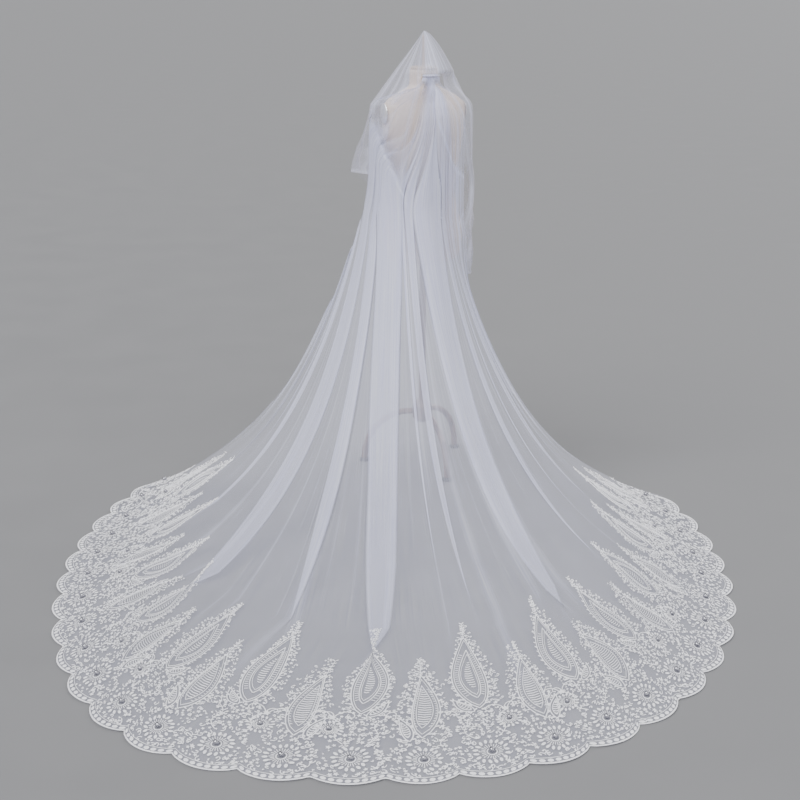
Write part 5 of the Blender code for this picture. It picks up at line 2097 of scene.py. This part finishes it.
@dataclass
class GatheringBand:
    """The bound and gathered top edge around the comb."""

    crimps: int = 13
    spread: float = COMB_SPREAD + 3.0

    def build(self, materials: Materials) -> bpy.types.Object:
        """Makes the band.

        Args:
            materials: the scene's materials.

        Returns:
            The object.
        """
        stations = self.crimps * 6 + 1
        azimuth = np.linspace(BACK_AZIMUTH - self.spread, BACK_AZIMUTH + self.spread, stations)
        crimp = np.abs(np.sin(np.linspace(0.0, math.pi * self.crimps, stations))) ** 0.7
        wobble = 0.5 + 0.5 * np.sin(np.linspace(0.0, 37.0, stations))
        turn = np.linspace(0.0, 2 * np.pi, 17)[:-1]
        middle = BAND_INNER + 0.0055
        rows = []
        ends_off = np.minimum(np.arange(stations), np.arange(stations)[::-1]) / stations
        full = 0.40 + 0.60 * smooth_step(ends_off, 0.0, 0.16)
        for angle in turn:
            out = 0.0050 * math.cos(angle) + 0.0040 * crimp * max(math.cos(angle), 0.0) * full
            up = 0.0056 * math.sin(angle) * (1.0 - 0.45 * wobble * crimp) * full
            rows.append(at_azimuth(azimuth, middle + out, BAND_BOTTOM + BAND_HEIGHT / 2 + up))
        points = np.array(rows).transpose(1, 0, 2)
        cloth = np.stack(np.broadcast_arrays(np.radians(azimuth)[:, None] * middle, turn[None, :] * 0.005), axis=-1)
        # Cover follows the crimps. The dense net on the crests stands for the gathers, and the thin net in the grooves
        # is painted shade. It also thins towards the band's ends.
        cover = np.broadcast_to((0.30 + 0.62 * crimp * full)[:, None], (stations, len(turn)))
        faces = grid_faces(stations, len(turn), closed=True)
        ends = [np.array([[0, 15 - k, 14 - k, 13 - k]]) for k in range(0, 13, 2)]
        base = (stations - 1) * len(turn)
        caps = [np.array([[base, base + k, base + k + 1, base + k + 2]]) for k in range(1, 14, 2)]
        item = make_mesh("gathering_band_cloth", points.reshape(-1, 3), np.concatenate([faces] + ends + caps),
                         materials.net, cloth.reshape(-1, 2), cover.ravel())
        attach(item, "root")
        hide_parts("gathering_band")
        return item


@dataclass
class DressForm:
    """The torso and neck under the veil, and the hard parts that carry it."""

    shape: FormShape

    def build(self, materials: Materials) -> bpy.types.Object:
        """Makes the torso and gives the stand its materials.

        Args:
            materials: the scene's materials.

        Returns:
            The torso.
        """
        levels = np.concatenate([
            np.linspace(0.800, 0.815, 4)[:-1], np.linspace(0.815, 1.360, 46)[:-1],
            np.linspace(1.360, 1.440, 26)[:-1], np.linspace(1.440, NECK_TOP, 6)])
        ring = np.arange(72) * 5.0
        reach = np.array([self.shape.radius(ring, level) for level in levels])
        smooth = reach.copy()
        for _ in range(8):
            smooth[1:-1] = (smooth[:-2] + 2 * smooth[1:-1] + smooth[2:]) / 4
        reach = np.minimum(reach, smooth) - 0.0003
        rows = [at_azimuth(ring, reach[index], level) for index, level in enumerate(levels)]
        bottom = at_azimuth(0.0, 0.0, levels[0])[None, :]
        top = at_azimuth(0.0, 0.0, levels[-1])[None, :]
        points = np.concatenate(rows + [bottom, top])
        faces = grid_faces(len(levels), len(ring), closed=True)[:, ::-1]
        steps = np.arange(0, len(ring), 2)
        low = np.stack([np.full(len(steps), len(points) - 2), (steps + 2) % len(ring), steps + 1, steps], axis=-1)
        start = (len(levels) - 1) * len(ring)
        high = np.stack([np.full(len(steps), len(points) - 1), start + steps, start + steps + 1,
                         start + (steps + 2) % len(ring)], axis=-1)
        item = make_mesh("form_torso", points, np.concatenate([faces, low, high]), materials.jersey)
        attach(item, "root")
        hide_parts("dress_form")
        self._dress_hard_parts(materials)
        return item

    def _dress_hard_parts(self, materials: Materials) -> None:
        """Gives the CAD's hard parts their materials.

        Args:
            materials: the scene's materials.
        """
        for name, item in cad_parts.items():
            if name.startswith(("leg", "pole", "hub")):
                material = materials.wood
            elif name.startswith("neck"):
                material = materials.pale_wood
            elif name.startswith(("shoulder_plate", "comb")):
                material = materials.silver
            elif name.startswith("foot_pad"):
                material = materials.rubber
            else:
                continue
            item.data.materials.clear()
            item.data.materials.append(material)
            log.info("hard part: %s", name)


@dataclass
class Studio:
    """Floor, light and camera."""

    def build(self, materials: Materials) -> None:
        """Sets up the studio.

        Args:
            materials: the scene's materials.
        """
        size = 400.0
        corners = np.array([[-size, -size, 0.0], [size, -size, 0.0], [size, size, 0.0], [-size, size, 0.0]])
        floor = make_mesh("floor", corners, np.array([[0, 1, 2, 3]]), materials.floor)
        world = bpy.data.worlds.new("studio")
        world.use_nodes = True
        background = world.node_tree.nodes["Background"]
        background.inputs["Color"].default_value = (0.415, 0.417, 0.430, 1.0)
        background.inputs["Strength"].default_value = 1.0
        bpy.context.scene.world = world
        self._lamp("key_light", (-2.6, -2.2, 4.0), 3.3, 50.0)
        self._lamp("fill_light", (2.2, -3.6, 2.0), 1.5, 70.0)
        self._lamp("rim_light", (2.6, 3.4, 3.0), 1.7, 60.0)
        camera = bpy.data.objects.new("camera", bpy.data.cameras.new("camera"))
        camera.data.lens = 63.0
        camera.data.sensor_width = 36.0
        camera.location = (0.017, FORM_Y - 5.13, 1.81)
        camera.rotation_euler = (math.radians(90.0 - 16.9), 0.0, 0.0)
        bpy.context.scene.collection.objects.link(camera)
        bpy.context.scene.camera = camera
        bpy.context.scene.cycles.transparent_max_bounces = 40

    def _lamp(self, name: str, place: tuple[float, float, float], power: float, softness: float) -> None:
        """A soft light from far away.

        Args:
            name: its name.
            place: the direction it comes from.
            power: its power in watts per square metre.
            softness: how wide it looks, in degrees.
        """
        lamp = bpy.data.lights.new(name, "SUN")
        lamp.energy = power
        lamp.angle = math.radians(softness)
        item = bpy.data.objects.new(name, lamp)
        item.location = place
        item.rotation_euler = Vector(place).to_track_quat("Z", "Y").to_euler()
        bpy.context.scene.collection.objects.link(item)


def main() -> None:
    """Builds every piece in order."""
    logging.basicConfig(level=logging.INFO, format="%(message)s")
    materials = Materials()
    form = FormShape()
    blusher = BlusherShape(form)
    hem = HemLine()
    layer = LongLayer(RibCage(hem, form, blusher), hem)
    layer.build(materials)
    LaceBorder(layer).build(materials)
    Blusher(blusher).build(materials)
    GatheringBand().build(materials)
    DressForm(form).build(materials)
    Studio().build(materials)


if __name__ == "__main__":
    main()
